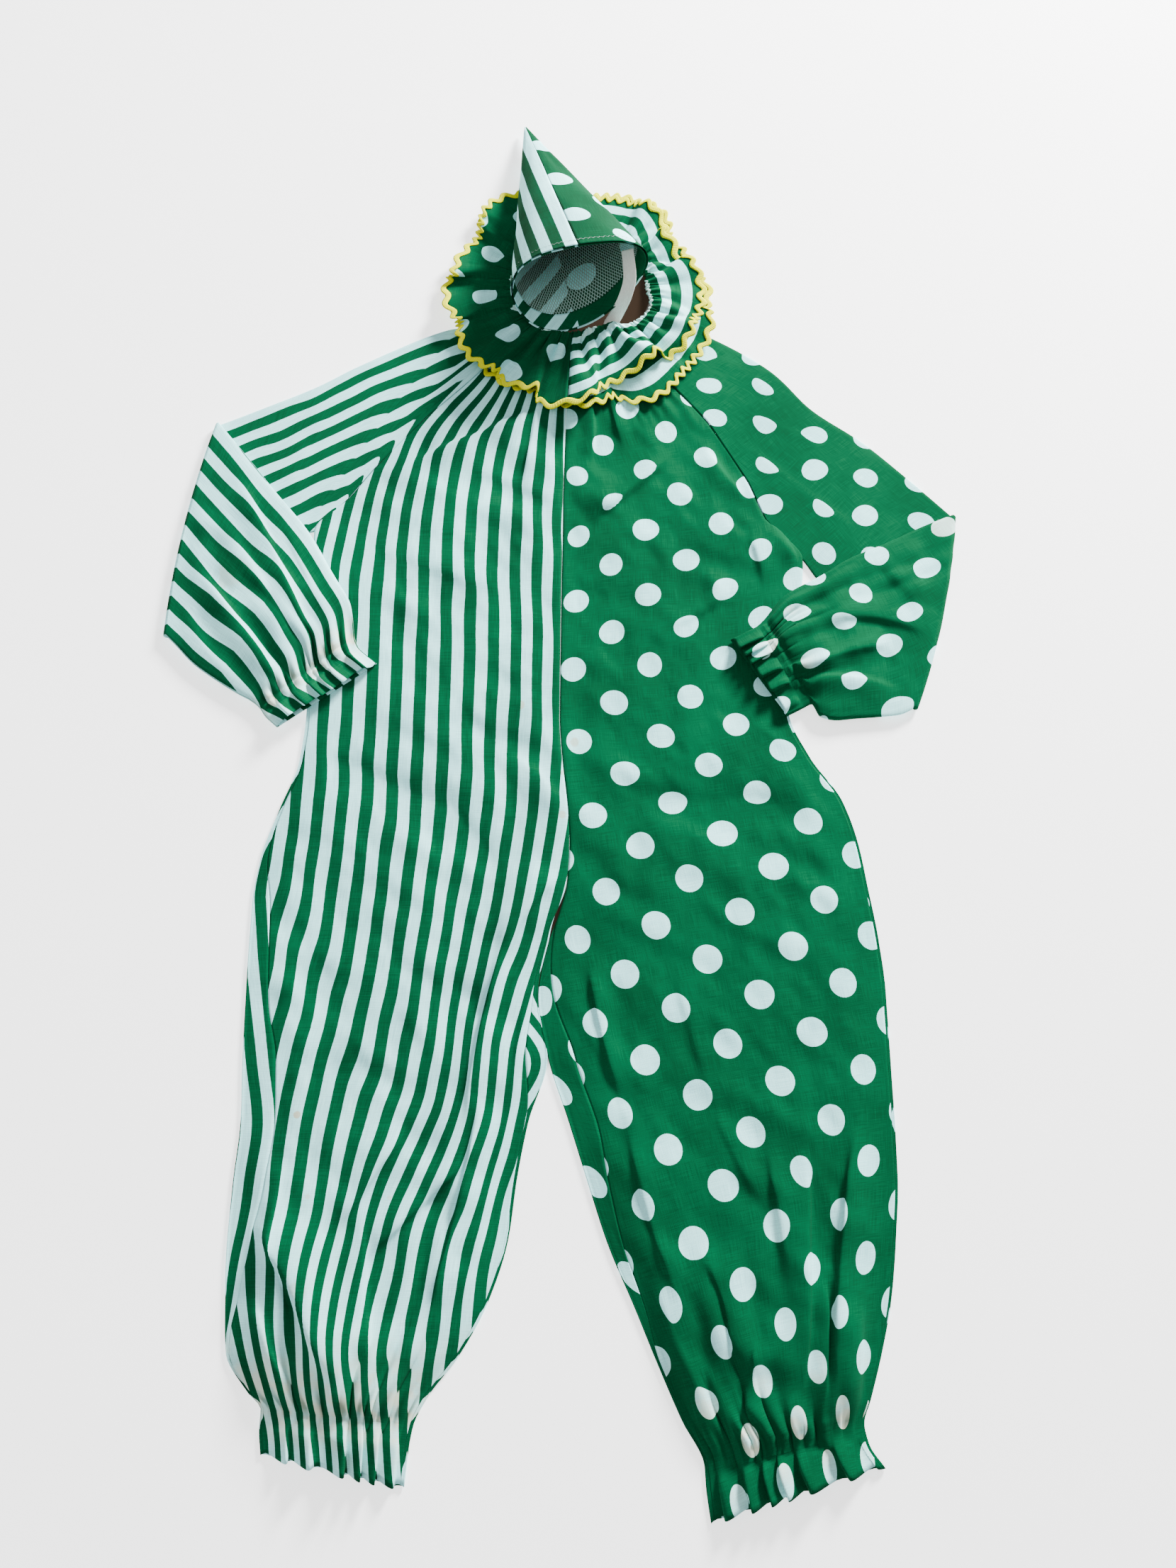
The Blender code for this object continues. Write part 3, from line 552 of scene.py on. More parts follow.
# %% [markdown]
# ## Jumpsuit panels
# The fronts lie over the backs. Both follow the sections in rows 5 to 6 mm apart.
# Elastic draws in the ankles: small tight pleats at the elastic, wider ones above it,
# and a loose frill below it. The backs turn up round the side folds and show as a
# narrow band beside the seams.

# %% Heights of the upper cloth
FLOOR_MID = 0.0006
FOLD_RADIUS = 0.0012
TOP_MID = FLOOR_MID + 2 * FOLD_RADIUS
RISE = 0.05
SEAM_GAP = 0.0003
FINE_ROWS = 240
FRONT_COLUMNS = 144


def side_arrays(sections):
    """The sections' columns as smooth arrays, evenly spaced from neck to hem."""
    plain = np.column_stack([np.array(sections), CROWN])
    length = run_length((plain[:, 0:2] + plain[:, 2:4]) / 2)
    at = np.linspace(0, length[-1], FINE_ROWS)
    columns = [through(length, plain[:, k], at) for k in range(7)]
    folds = [np.interp(at, length, 1.0 * (np.arange(len(plain)) >= first)) for first in FIRST_FOLDS]
    return {"outer": np.column_stack(columns[0:2]), "inner": np.column_stack(columns[2:4]),
            "roll_outer": columns[4], "roll_inner": columns[5], "crown": columns[6],
            "fold_outer": folds[0], "fold_inner": folds[1], "along": at, "elastic": length[-3] - 0.003}


Pleat = namedtuple("Pleat", "part size near far")
PLEATS = table(Pleat, [(1.0, 0.0052, 0.0, 0.020), (0.55, 0.0070, 0.016, 0.045), (0.32, 0.0080, 0.048, 0.110)])
PLEAT_TAKES = 0.042             # cloth hidden in a pleat, as a share of its width
FRILL_PART = 0.42               # lobes of the frill to each tight pleat
SLACK = 0.0022                  # how far loose cloth strays from its marks


def gathers(share, past, span, seed, count, far_gain):
    """Pleats near an elastic: height, sideways shift, hidden cloth, frill, and puckers, whose depth the cloth
    also shows as painted shade.

    past is the distance below the elastic, span the cloth's width at each place and
    count the tightest pleats across it. Cloth hidden in a pleat moves the print.
    """
    drift = 0.45 * np.sin(6.1 * share + seed) + 0.15 * np.sin(14.3 * share + 2 * seed)
    above = np.maximum(-past, 0)
    below = np.maximum(past, 0)
    height = np.zeros_like(share)
    swing = np.zeros_like(share)
    hidden = np.zeros_like(share)
    for pleat in PLEATS:
        size = pleat.size * (far_gain if pleat.near else 1)
        number = pleat.part * count
        phase = (2 * math.pi * (number * share + drift * (0.8 + 0.05 * number))
                 + above * 16 * math.sin(seed + number))
        uneven = 0.65 + 0.6 * soft_noise(share * number * 0.7, above / 0.05, seed + 5)
        reach = bell(above - pleat.near, pleat.far) * bell(below, 0.012)
        height += size * reach * np.maximum(uneven, 0.15) * (0.5 + 0.5 * np.cos(phase))
        swing += 0.25 * size * reach * np.sin(phase)
        hidden -= PLEAT_TAKES * span / number * reach * uneven * np.sin(phase)
    lobes = FRILL_PART * count
    phase = 2 * math.pi * (lobes * share + drift * 0.9)
    frill = ease(0.002, 0.024, below)
    height += 0.0052 * frill * (1 + np.sin(phase)) * (0.85 + 0.3 * soft_noise(share * 7, 0 * share, 9))
    swing += 0.19 * span / lobes * frill * np.sin(phase)
    tight = 2 * math.pi * (0.95 * count * share + 2.2 * drift + above * 9 * np.sin(5 * share + seed))
    # Puckers dent the cloth by the elastic; their depth also darkens the cloth there as painted shade, for
    # the self-shadow that pleats this fine can't cast.
    pucker = bell(above - 0.004, 0.019) * bell(below, 0.006)
    pucker = pucker * ease(-0.3, 0.9, np.cos(tight))
    height -= 0.0022 * pucker
    casing = np.minimum(bell(past, 0.003) + bell(past - 0.010, 0.003), 1)
    return height * (1 - 0.8 * casing), swing, hidden, frill * np.sin(phase), pucker * (1 - 0.6 * casing)


def under_forearm(x, y):
    """How much of a forearm's weight lies on the body at a place."""
    right = ease(-0.20, -0.23, x) * ease(-0.06, -0.02, y) * ease(0.26, 0.20, y)
    left = ease(0.18, 0.21, x) * ease(-0.05, -0.01, y) * ease(0.20, 0.15, y)
    return np.maximum(right, left)


def upper_cloth(half, from_outer, creases, seed):
    """The upper cloth at distances in from the outer end: places, shifts of its print, age, and pucker depths
    for painted shade.
    """
    outer, inner = half["outer"], half["inner"]
    width = np.linalg.norm(inner - outer, axis=1)[:, None]
    share = from_outer / width
    xy = outer[:, None] + (inner - outer)[:, None] * share[..., None]
    x, y = xy[..., 0], xy[..., 1]
    rise = 1 - half["fold_outer"][:, None] * (1 - ease(0, RISE, from_outer))
    rise = rise * (1 - half["fold_inner"][:, None] * (1 - ease(0, RISE, width - from_outer)))
    free = 1 - 0.85 * under_forearm(x, y)
    settled = ease(-0.004, 0.022, from_outer) * ease(-0.004, 0.022, width - from_outer)
    ridge, shift, lean = crease_lines(x, y, creases)
    past = (half["along"] - half["elastic"])[:, None] + 0 * share
    pleats, swing, hidden, lobes, pucker = gathers(share, past, width, seed, 16, 1.0)
    neck = ease(0.36, 0.47, y)
    neck_phase = 2 * math.pi * (11 * share + 0.5 * np.sin(9 * share + seed))
    pleats = pleats + 0.0022 * neck * (0.5 + 0.5 * np.cos(neck_phase))
    at_seam = bell(from_outer, 0.0022) + bell(width - from_outer, 0.0022)
    low = np.maximum(ease(0.0, 0.012, from_outer) * ease(0.0, 0.012, width - from_outer), 0.25)
    height = half["crown"][:, None] + (ridge + wrinkles(x, y, seed)) * free * settled
    z = TOP_MID + rise * height + np.sqrt(np.maximum(rise, 0.12)) * pleats * low - 0.0008 * at_seam
    z = np.maximum(z, FLOOR_MID + 0.0014)
    places = np.dstack([x, y, z])
    places[..., :2] += lean * rise[..., None]
    direction = ((inner - outer) / width)[:, None]
    places[..., :2] += direction * (swing * low)[..., None]
    frill = ease(0.004, 0.03, past)
    along = np.dstack([direction[..., 1], -direction[..., 0]]) * np.sign(direction[0, 0, 0])
    places[..., :2] += along * (frill * 0.0024 * lobes)[..., None]
    hidden = hidden + SLACK * slanted_noise(x, y, 0.034, 0.10, seed + 1)
    age = np.where(past < 0, bell(past, 0.055), bell(past, 0.03))
    return places, shift, hidden, age, pucker


# %% Fronts and backs
def lay_front(name, half, creases, pattern, seed):
    """A front panel, from its outer seam to its inner seam."""
    width = np.linalg.norm(half["inner"] - half["outer"], axis=1)
    start = half["fold_outer"] * half["roll_outer"] + SEAM_GAP / 2
    end = width - half["fold_inner"] * half["roll_inner"] - SEAM_GAP / 2
    share = np.linspace(0, 1, FRONT_COLUMNS)
    from_outer = start[:, None] + (end - start)[:, None] * share
    places, shift, hidden, age, pucker = upper_cloth(half, from_outer, creases, seed)
    sense = (-1, 1) if name.endswith("right") else (1, 1)
    cloth = pattern(places[..., 0], places[..., 1]) + shift * sense
    cloth[..., 0] += hidden
    lay_sheet(name, places, cloth, age=age, pucker=pucker)


def lay_back(name, half, creases, pattern, offset, seed):
    """A back panel: round the outer fold, along the floor, and round the inner fold."""
    outer, inner = half["outer"], half["inner"]
    width = np.linalg.norm(inner - outer, axis=1)[:, None]
    turn = np.radians([112, 135, 157, 180, 202, 225, 247, 270])
    flap_steps = np.linspace(0, 1, 9)

    def wrap(roll, fold):
        """Distances in and heights, from the panel's edge to the floor; None is the upper cloth."""
        over = roll + (FOLD_RADIUS - roll) * flap_steps
        round_it = FOLD_RADIUS * (1 + np.cos(turn))[None, :] + 0 * roll
        folded = np.hstack([over, round_it])
        flat = SEAM_GAP / 2 + 0.004 * np.linspace(0, 1, folded.shape[1])[None, :] + 0 * roll
        heights = np.hstack([0 * over, 0 * roll + FLOOR_MID + FOLD_RADIUS * (1 + np.sin(turn))[None, :]])
        return flat + (folded - flat) * fold, heights

    fold_outer, fold_inner = half["fold_outer"][:, None], half["fold_inner"][:, None]
    left, left_heights = wrap(half["roll_outer"][:, None], fold_outer)
    right, right_heights = wrap(half["roll_inner"][:, None], fold_inner)
    margin = 0.006
    floor_run = margin + (width - 2 * margin) * np.linspace(0, 1, 26)
    from_outer = np.hstack([left, floor_run, width - right[:, ::-1]])
    places, shift, hidden, age, pucker = upper_cloth(half, from_outer, creases, seed)
    count = left.shape[1]
    flap = len(flap_steps)
    ripple = 0.0004 * (1 + soft_noise(places[..., 0] / 0.03, places[..., 1] / 0.05, int(seed * 10)))
    x, y = places[..., 0], places[..., 1]
    upper = places[..., 2].copy()
    straight = outer[:, None] + (inner - outer)[:, None] * (from_outer / width)[..., None]
    hem_only = (half["along"] > half["elastic"] + 0.004)[:, None, None]
    loose = straight + (places[..., :2] - straight) * 0.4
    places[:, count:-count, :2] = np.where(hem_only, loose[:, count:-count], straight[:, count:-count])
    inside = ease(0.004, 0.02, from_outer) * ease(0.004, 0.02, width - from_outer)
    places[..., 2] = FLOOR_MID + ripple * inside
    places[:, :flap, 2] += (upper[:, :flap] - places[:, :flap, 2]) * fold_outer
    places[:, flap:count, 2] += (left_heights[:, flap:] - places[:, flap:count, 2]) * fold_outer
    places[:, -flap:, 2] += (upper[:, -flap:] - places[:, -flap:, 2]) * fold_inner
    right_heights = right_heights[:, ::-1]
    places[:, -count:-flap, 2] += (right_heights[:, :-flap] - places[:, -count:-flap, 2]) * fold_inner
    mirrored = from_outer.copy()
    mirrored[:, :flap] = np.where(fold_outer > 0.5, -mirrored[:, :flap], mirrored[:, :flap])
    mirrored[:, -flap:] = np.where(fold_inner > 0.5, 2 * width - mirrored[:, -flap:], mirrored[:, -flap:])
    laid = outer[:, None] + (inner - outer)[:, None] * (mirrored / width)[..., None]
    cloth = pattern(laid[..., 0], laid[..., 1]) + offset
    lay_sheet(name, places[:, ::-1], cloth[:, ::-1], age=age[:, ::-1], pucker=pucker[:, ::-1])


Half = namedtuple("Half", "name arrays creases pattern back_offset seed")
HALVES = table(Half, [
    ("striped_right", side_arrays(RIGHT_SECTIONS), RIGHT_CREASES, stripe_map, (0.0134, 0.0), 1.3),
    ("dotted_left", side_arrays(LEFT_SECTIONS), LEFT_CREASES, dot_map, (0.020, 0.010), 2.1),
])
for half in HALVES:
    lay_front("front_" + half.name, half.arrays, half.creases, half.pattern, half.seed)
for half in HALVES:
    lay_back("back_" + half.name, half.arrays, half.creases, half.pattern, half.back_offset, half.seed)

# %% [markdown]
# ## Sleeves
# A raglan sleeve is a pressed tube. It runs from the raglan seam to the elbow, folds
# there, and its forearm comes back over it, so the forearm's visible cloth is the
# sleeve's back. The stripes follow the arm, and at the raglan seam they meet the
# body's stripes in a mitre.

# %% Sleeve tables
Ring = namedtuple("Ring", "top_x top_y under_x under_y turn crown")
RIGHT_RINGS = table(Ring, [
    (-0.140, 0.528, -0.322, 0.229, 0, 0.0015),
    (-0.258, 0.474, -0.372, 0.190, 0, 0.0015),
    (-0.318, 0.438, -0.402, 0.163, 0, 0.0015),
    (-0.378, 0.409, -0.436, 0.130, 0, 0.0010),
    (-0.434, 0.383, -0.471, 0.092, 0, 0),
    (-0.434, 0.383, -0.471, 0.092, 60, 0),
    (-0.434, 0.383, -0.471, 0.092, 120, 0),
    (-0.434, 0.383, -0.471, 0.092, 180, 0.001),
    (-0.400, 0.340, -0.457, 0.078, 180, 0.002),
    (-0.358, 0.286, -0.436, 0.056, 180, 0.003),
    (-0.313, 0.229, -0.405, 0.033, 180, 0.004),
    (-0.280, 0.172, -0.380, 0.017, 180, 0.005),
    (-0.256, 0.128, -0.364, 0.008, 180, 0.006),
    (-0.249, 0.085, -0.352, -0.002, 180, 0.0035),
    (-0.244, 0.074, -0.346, -0.011, 180, 0.004),
    (-0.222, 0.054, -0.331, -0.025, 180, 0.003),
])
LEFT_RINGS = table(Ring, [
    (0.145, 0.528, 0.303, 0.168, 0, 0.0015),
    (0.256, 0.465, 0.347, 0.122, 0, 0.0015),
    (0.308, 0.405, 0.362, 0.082, 0, 0.0015),
    (0.370, 0.356, 0.382, 0.045, 0, 0.0010),
    (0.471, 0.252, 0.406, 0.000, 0, 0),
    (0.471, 0.252, 0.406, 0.000, 60, 0),
    (0.471, 0.252, 0.406, 0.000, 120, 0),
    (0.471, 0.252, 0.406, 0.000, 180, 0.001),
    (0.434, 0.236, 0.388, -0.009, 180, 0.002),
    (0.388, 0.213, 0.362, -0.012, 180, 0.003),
    (0.340, 0.191, 0.336, -0.014, 180, 0.004),
    (0.305, 0.168, 0.314, -0.016, 180, 0.005),
    (0.262, 0.142, 0.296, -0.012, 180, 0.006),
    (0.236, 0.110, 0.286, 0.004, 180, 0.0035),
    (0.228, 0.102, 0.277, 0.000, 180, 0.004),
    (0.196, 0.084, 0.257, -0.010, 180, 0.003),
])
RIGHT_ARM_CREASES = table(Crease, [
    (-0.175, 0.512, -0.283, 0.434, -0.360, 0.375, 0.018, 0.0016, -0.004),
    (-0.290, 0.430, -0.325, 0.347, -0.333, 0.300, 0.016, 0.0014, 0.004),
    (-0.155, 0.505, -0.214, 0.434, -0.262, 0.340, 0.018, 0.0014, -0.004),
    (-0.345, 0.410, -0.368, 0.370, -0.390, 0.310, 0.016, 0.0012, 0.003),
])
RIGHT_FOREARM_CREASES = table(Crease, [
    (-0.412, 0.318, -0.358, 0.203, -0.288, 0.050, 0.017, 0.0050, 0.008),
    (-0.452, 0.188, -0.393, 0.105, -0.330, 0.024, 0.018, 0.0056, 0.009),
    (-0.410, 0.232, -0.364, 0.151, -0.310, 0.056, 0.015, 0.0034, 0.004),
    (-0.350, 0.260, -0.310, 0.175, -0.262, 0.080, 0.012, 0.0026, -0.004),
    (-0.455, 0.130, -0.420, 0.066, -0.360, 0.005, 0.014, 0.0030, 0.004),
])
LEFT_ARM_CREASES = table(Crease, [
    (0.200, 0.372, 0.291, 0.285, 0.375, 0.215, 0.018, 0.0034, 0.016),
    (0.215, 0.398, 0.267, 0.378, 0.325, 0.340, 0.016, 0.0026, 0.012),
    (0.175, 0.480, 0.221, 0.466, 0.270, 0.415, 0.014, 0.0026, 0.016),
    (0.330, 0.330, 0.372, 0.290, 0.420, 0.262, 0.015, 0.0012, -0.006),
])
LEFT_FOREARM_CREASES = table(Crease, [
    (0.300, 0.108, 0.366, 0.118, 0.440, 0.088, 0.020, 0.0050, -0.012),
    (0.225, 0.052, 0.276, 0.099, 0.350, 0.138, 0.014, 0.0040, 0.009),
    (0.262, 0.036, 0.323, 0.067, 0.385, 0.080, 0.013, 0.0040, -0.008),
    (0.285, 0.022, 0.332, 0.030, 0.400, 0.014, 0.013, 0.0036, 0.008),
    (0.370, 0.190, 0.410, 0.150, 0.440, 0.100, 0.018, 0.0024, -0.004),
])
LEFT_ARM_MARKS = dot_marks([
    (0.309, 0.320, 0, 0), (0.245, 0.320, -1, -1), (0.371, 0.308, 1, 1), (0.366, 0.255, 2, 0),
    (0.311, 0.261, 1, -1), (0.249, 0.268, 0, -2), (0.245, 0.439, -3, 1), (0.186, 0.395, -3, -1),
    (0.433, 0.246, 3, 1), (0.313, 0.200, 2, -2), (0.180, 0.440, -4, 0), (0.310, 0.371, -1, 1),
])
LEFT_FOREARM_MARKS = dot_marks([
    (0.434, 0.180, 0, 0), (0.409, 0.120, 1, -1), (0.351, 0.146, 0, -2), (0.379, 0.075, 2, -2),
    (0.331, 0.105, 1, -3), (0.336, 0.029, 3, -3), (0.291, 0.057, 2, -4), (0.273, 0.118, 0, -4),
    (0.383, -0.006, 4, -2), (0.445, 0.070, 3, -1), (0.458, 0.236, -1, 1),
])
ELBOW_BOW = 0.008
ARM_HALF = 0.001225
ELBOW_MID = 0.0029
ELBOW_PIVOT_Z = FLOOR_MID + ELBOW_MID + ARM_HALF
LAYER_COLUMNS = 72
ELBOW = 6.5                     # ring numbers of the middle of the elbow's turn and of the elastic
WRIST = 14.0


# %% Lay a sleeve
def lay_sleeve(name, sections, rings, arm_creases, forearm_creases, cloth_of, seed):
    """A sleeve as a closed tube, with its elbow folded and its forearm over its upper arm."""
    raglan = np.array(sections)[:FIRST_FOLDS[0], :2]
    length = run_length(raglan)
    knots = length / length[-1]
    side = np.sign(raglan[-1, 0])
    seam = unit(raglan[-1] - raglan[0])
    clear = np.array([seam[1], -seam[0]]) * -side * 0.0005
    first = Ring(*(raglan[0] + clear), *(raglan[-1] + clear), 0, 0.0015)
    plain = np.array([first] + rings)
    numbers = []
    for k, (a, b) in enumerate(zip(plain, plain[1:])):
        run = max(np.linalg.norm(b[:2] - a[:2]), np.linalg.norm(b[2:4] - a[2:4]))
        run += abs(b[4] - a[4]) * 0.0003
        numbers.append(np.linspace(k, k + 1, max(3, int(run / 0.0038)), endpoint=False))
    number = np.concatenate(numbers + [[len(plain) - 1]])
    ring = [through(np.arange(len(plain)), plain[:, k], number) for k in range(6)]
    top = np.column_stack(ring[0:2])
    under = np.column_stack(ring[2:4])
    turn = np.radians(ring[4])
    across = unit(under - top)
    outwards = np.column_stack([across[:, 1], -across[:, 0]]) * -side
    near_elbow = ease(4, 6, number) * (1 - ease(9, 11, number))
    raglan_part = np.maximum(0, 1 - number / 3)
    cap = np.radians([45, 90, 135])
    shares = np.linspace(0, 1, LAYER_COLUMNS)
    flat, row = 0 * shares, 0 * number[:, None]
    share = np.concatenate([shares, 1 + 0 * cap, shares[::-1], 0 * cap, shares[:1]]) + row
    layer = np.concatenate([flat + 1, np.cos(cap), flat - 1, -np.cos(cap), [1.0]]) + row
    past = (np.concatenate([flat, np.sin(cap), flat, -np.sin(cap), [0.0]]) + row) * ARM_HALF
    bow = np.column_stack([np.interp(share[0], knots, raglan[:, k] - raglan[0, k]
                                     - knots * (raglan[-1, k] - raglan[0, k])) for k in (0, 1)])
    xy = top[:, None] + (under - top)[:, None] * share[..., None] + across[:, None] * past[..., None]
    xy = xy + bow[None] * raglan_part[:, None, None]
    arc = ELBOW_BOW * near_elbow[:, None] * 4 * share * (1 - share)
    xy = xy + outwards[:, None] * arc[..., None]
    x, y = xy[..., 0], xy[..., 1]
    z_way = -np.cos(turn)[:, None]
    forearm = (number > ELBOW)[:, None] + 0 * share
    upper = layer * z_way > 0
    body = 0.5 + 0.5 * np.tanh((np.abs(layer) - 0.99) * 400)
    hump = np.sin(math.pi * np.clip(share, 0, 1)) ** 0.5
    crown = ring[5][:, None] * hump * body
    arm_ridge, arm_shift, arm_lean = crease_lines(x, y, arm_creases)
    fore_ridge, fore_shift, fore_lean = crease_lines(x, y, forearm_creases)
    settled = ease(1.3, 2.6, np.abs(number - ELBOW))[:, None]
    wave = wrinkles(x, y, seed * 7) * 1.1
    elastic_row = np.argmin(np.abs(number - WRIST))
    middle = (top + under) / 2
    along = run_length(middle)
    beyond = (along - along[elastic_row])[:, None] + 0 * share
    span = np.linalg.norm(under - top, axis=1)[:, None]
    pleats, swing, hidden, lobes, pucker = gathers(
        share, np.where(forearm > 0, beyond, -1.0), span, seed, 14, 0.5)
    side_room = np.maximum(ease(0, 0.10, share) * ease(0, 0.10, 1 - share), 0.22)
    shown = np.where(forearm > 0, fore_ridge + wave, arm_ridge + 0.6 * wave) * hump * settled
    relief = np.where(upper, shown + pleats * side_room * (forearm > 0), 0.0) * body
    relief = relief * ease(0.0, 1.2, number)[:, None]
    fold = unit(plain[13, :2] - plain[8, :2])
    beside = ((x - rings[7].top_x) * fold[1] - (y - rings[7].top_y) * fold[0]) * side
    relief = relief * (1 - 0.75 * (1 - forearm) * ease(-0.012, 0.006, beside))
    reach = ELBOW_MID + layer * (ARM_HALF + np.where(upper, crown, 0))
    reach = reach + np.where(upper, np.sign(layer) * relief, 0)
    places = np.dstack([x + outwards[:, None, 0] * np.sin(turn)[:, None] * reach,
                        y + outwards[:, None, 1] * np.sin(turn)[:, None] * reach,
                        ELBOW_PIVOT_Z + z_way * reach])
    lean = np.where(forearm[..., None] > 0, fore_lean, arm_lean * 0.6) * (upper * hump * settled)[..., None]
    places[..., :2] += lean + across[:, None] * (swing * upper * side_room)[..., None]
    frill = ease(0.004, 0.022, beyond) * (forearm > 0)
    down = unit(middle[-1] - middle[elastic_row])
    places[..., :2] += down * (frill * 0.0026 * lobes * upper)[..., None]
    shift = np.where(forearm[..., None] > 0, fore_shift, arm_shift) * (upper * settled)[..., None]
    cloth = cloth_of(places, number, share, layer, along, shift)
    cloth[..., 0] += hidden * upper * (forearm > 0)
    cloth[..., 0] += SLACK * slanted_noise(x, y, 0.034, 0.10, seed) * upper
    age = bell(beyond, 0.02) * (forearm > 0)
    way = int(side)
    lay_sheet(name, places[:, ::way], cloth[:, ::way], closed=True, age=age[:, ::way],
                     pucker=pucker[:, ::way])


def striped_sleeve(places, number, share, layer, along, shift):
    """Stripes along the arm: mitred at the raglan seam, and narrower towards the wrist."""
    at = np.array([0, 1, 5, 8, 11, 14, 16])
    top = np.interp(number, at, [0.180, 0.126, 0.126, 0.136, 0.136, 0.136, 0.136])[:, None]
    front = np.interp(number, at, [0.306, 0.306, 0.361, 0.350, 0.340, 0.300, 0.300])[:, None]
    back = np.interp(number, at, [-0.02, -0.03, -0.07, -0.074, -0.072, -0.050, -0.060])[:, None]
    seam = stripe_map(places[..., 0], places[..., 1])[..., 0]
    mitre = (1 - ease(0.0, 0.5, number))[:, None]
    inner = top + (front - top) * share
    inner = inner * (1 - mitre) + seam * mitre
    outer = top + (back - top) * share
    blend = 0.5 + 0.5 * layer
    u = inner * (1 - blend) + outer * blend
    step = shift[..., 0] * 0.75 + shift[..., 1] * 0.65
    return np.dstack([u + np.where(number[:, None] > ELBOW, step, -step), along[:, None] + 0 * share])


arm_map = cloth_map(LEFT_ARM_MARKS)
forearm_map = cloth_map(LEFT_FOREARM_MARKS)


def dotted_sleeve(places, number, share, layer, along, shift):
    """Dots by marks on the visible cloth of the upper arm and of the forearm."""
    x, y = places[..., 0] + shift[..., 0], places[..., 1] + shift[..., 1]
    return np.where((number > ELBOW)[:, None, None], forearm_map(x, y), arm_map(x, y))


lay_sleeve("sleeve_striped_right", RIGHT_SECTIONS, RIGHT_RINGS,
           RIGHT_ARM_CREASES, RIGHT_FOREARM_CREASES, striped_sleeve, 3.3)
lay_sleeve("sleeve_dotted_left", LEFT_SECTIONS, LEFT_RINGS,
           LEFT_ARM_CREASES, LEFT_FOREARM_CREASES, dotted_sleeve, 4.7)

# %% [markdown]
# ## Collar
# The collar is two deep ruffles gathered into one neck edge, with rickrack along both
# outer edges. Gathered cloth falls into lobes that lean over each other at the edge
# and split into finer and finer pleats towards the neck.

# %% Collar tables
Spoke = namedtuple("Spoke", "angle neck top under")
COLLAR_CENTRE = (0.018, 0.594)
COLLAR_SPOKES = table(Spoke, [
    (-180, 0.092, 0.140, 0.140), (-137, 0.092, 0.170, 0.166), (-111, 0.090, 0.155, 0.150),
    (-90, 0.088, 0.171, 0.166), (-66, 0.094, 0.172, 0.167), (-44, 0.088, 0.180, 0.176),
    (-27, 0.084, 0.178, 0.176), (-7, 0.080, 0.190, 0.181), (12, 0.074, 0.166, 0.180),
    (30, 0.074, 0.150, 0.194), (45, 0.092, 0.160, 0.190), (65, 0.098, 0.160, 0.176),
    (90, 0.086, 0.150, 0.158), (118, 0.090, 0.130, 0.140), (146, 0.092, 0.150, 0.160),
    (180, 0.092, 0.140, 0.145),
])
COLLAR_GAP = 0.0042
COLLAR_ON_SUIT = 0.0084
COLLAR_FRONT_SEAM = -6
COLLAR_STEPS = 400
COLLAR_SHARES = 22
LOBES = 13                      # round the outer edge of each ruffle
NECK_PLEATS = 104
SPOKES = np.array(COLLAR_SPOKES)
Layer = namedtuple("Layer", "column seed size swing lift ceiling")
LAYERS = {
    "top": Layer(2, 1.0, 0.0050, 0.0150, COLLAR_GAP, math.inf),
    "under": Layer(3, 2.6, 0.0016, 0.0090, 0.0, 0.0034),
}


# %% The ruffle as a surface
def ruffle(name, angle, share):
    """Places of a ruffle: angle in degrees from the front seam, share from neck to edge."""
    layer = LAYERS[name]
    seed = layer.seed
    neck, edge = (through(SPOKES[:, 0], SPOKES[:, column], angle) for column in (1, layer.column))
    free = 1 - ease(138, 166, np.abs(angle))
    radians = np.radians(angle)
    drift = 0.55 * np.sin(2 * radians + seed) + 0.4 * np.sin(5 * radians + 2 * seed)
    phase = LOBES * radians + 2.0 * drift
    middle = (2.7 * LOBES) * radians + 3 * drift
    fine = NECK_PLEATS * radians + 4 * drift
    open_lobe = ease(0.10, 1.0, share) * free
    front = ease(0.1, 0.8, np.cos(radians))
    size = layer.size * (1 + 0.35 * np.sin(3 * radians + seed)) * (1 + 0.8 * front)
    folds = (0.0022 + 0.0016 * front) * free * ease(0.0, 0.25, share) * ease(1.15, 0.30, share)
    height = (size * open_lobe * (1 + np.sin(phase)) + folds * (1 + np.cos(middle))
              + 0.0011 * free * ease(0.50, 0.0, share) * (1 + np.cos(fine))
              + 0.0008 * free * soft_noise(angle / 3.1, share * 4 + seed, 21))
    height = np.minimum(height, layer.ceiling)
    swing = layer.swing * (0.85 + 0.3 * np.sin(4 * radians + seed))
    along_edge = swing * open_lobe * ease(0.1, 1.0, share) * np.sin(phase)
    along_edge = along_edge + 0.0016 * free * ease(0.8, 0.1, share) * np.sin(middle)
    radius = neck + (edge - neck) * share + 0.0040 * open_lobe * (0.3 + np.cos(phase)) * share
    radius = radius + 0.0012 * np.cos(fine) * ease(0.12, 0, share)
    turned = radians + along_edge / np.maximum(radius, 0.05)
    x = COLLAR_CENTRE[0] + radius * np.sin(turned)
    y = COLLAR_CENTRE[1] - radius * np.cos(turned)
    base = FLOOR_MID + (COLLAR_ON_SUIT - FLOOR_MID) * (1 - ease(0.545, 0.60, y))
    return np.dstack([x, y, base + layer.lift + height])


def depth_at(name, angle):
    """How deep a ruffle is, from its neck edge to its outer edge."""
    return through(SPOKES[:, 0], SPOKES[:, LAYERS[name].column] - SPOKES[:, 1], angle)


EDGE_LENGTH = 0.168             # metres of ruffle cloth to a radian
STRIPE_PHASE = 0.0045
BRAID_WAVE = 0.0145
BRAID_RADIUS = 0.165            # of the collar's edge, where the braid runs


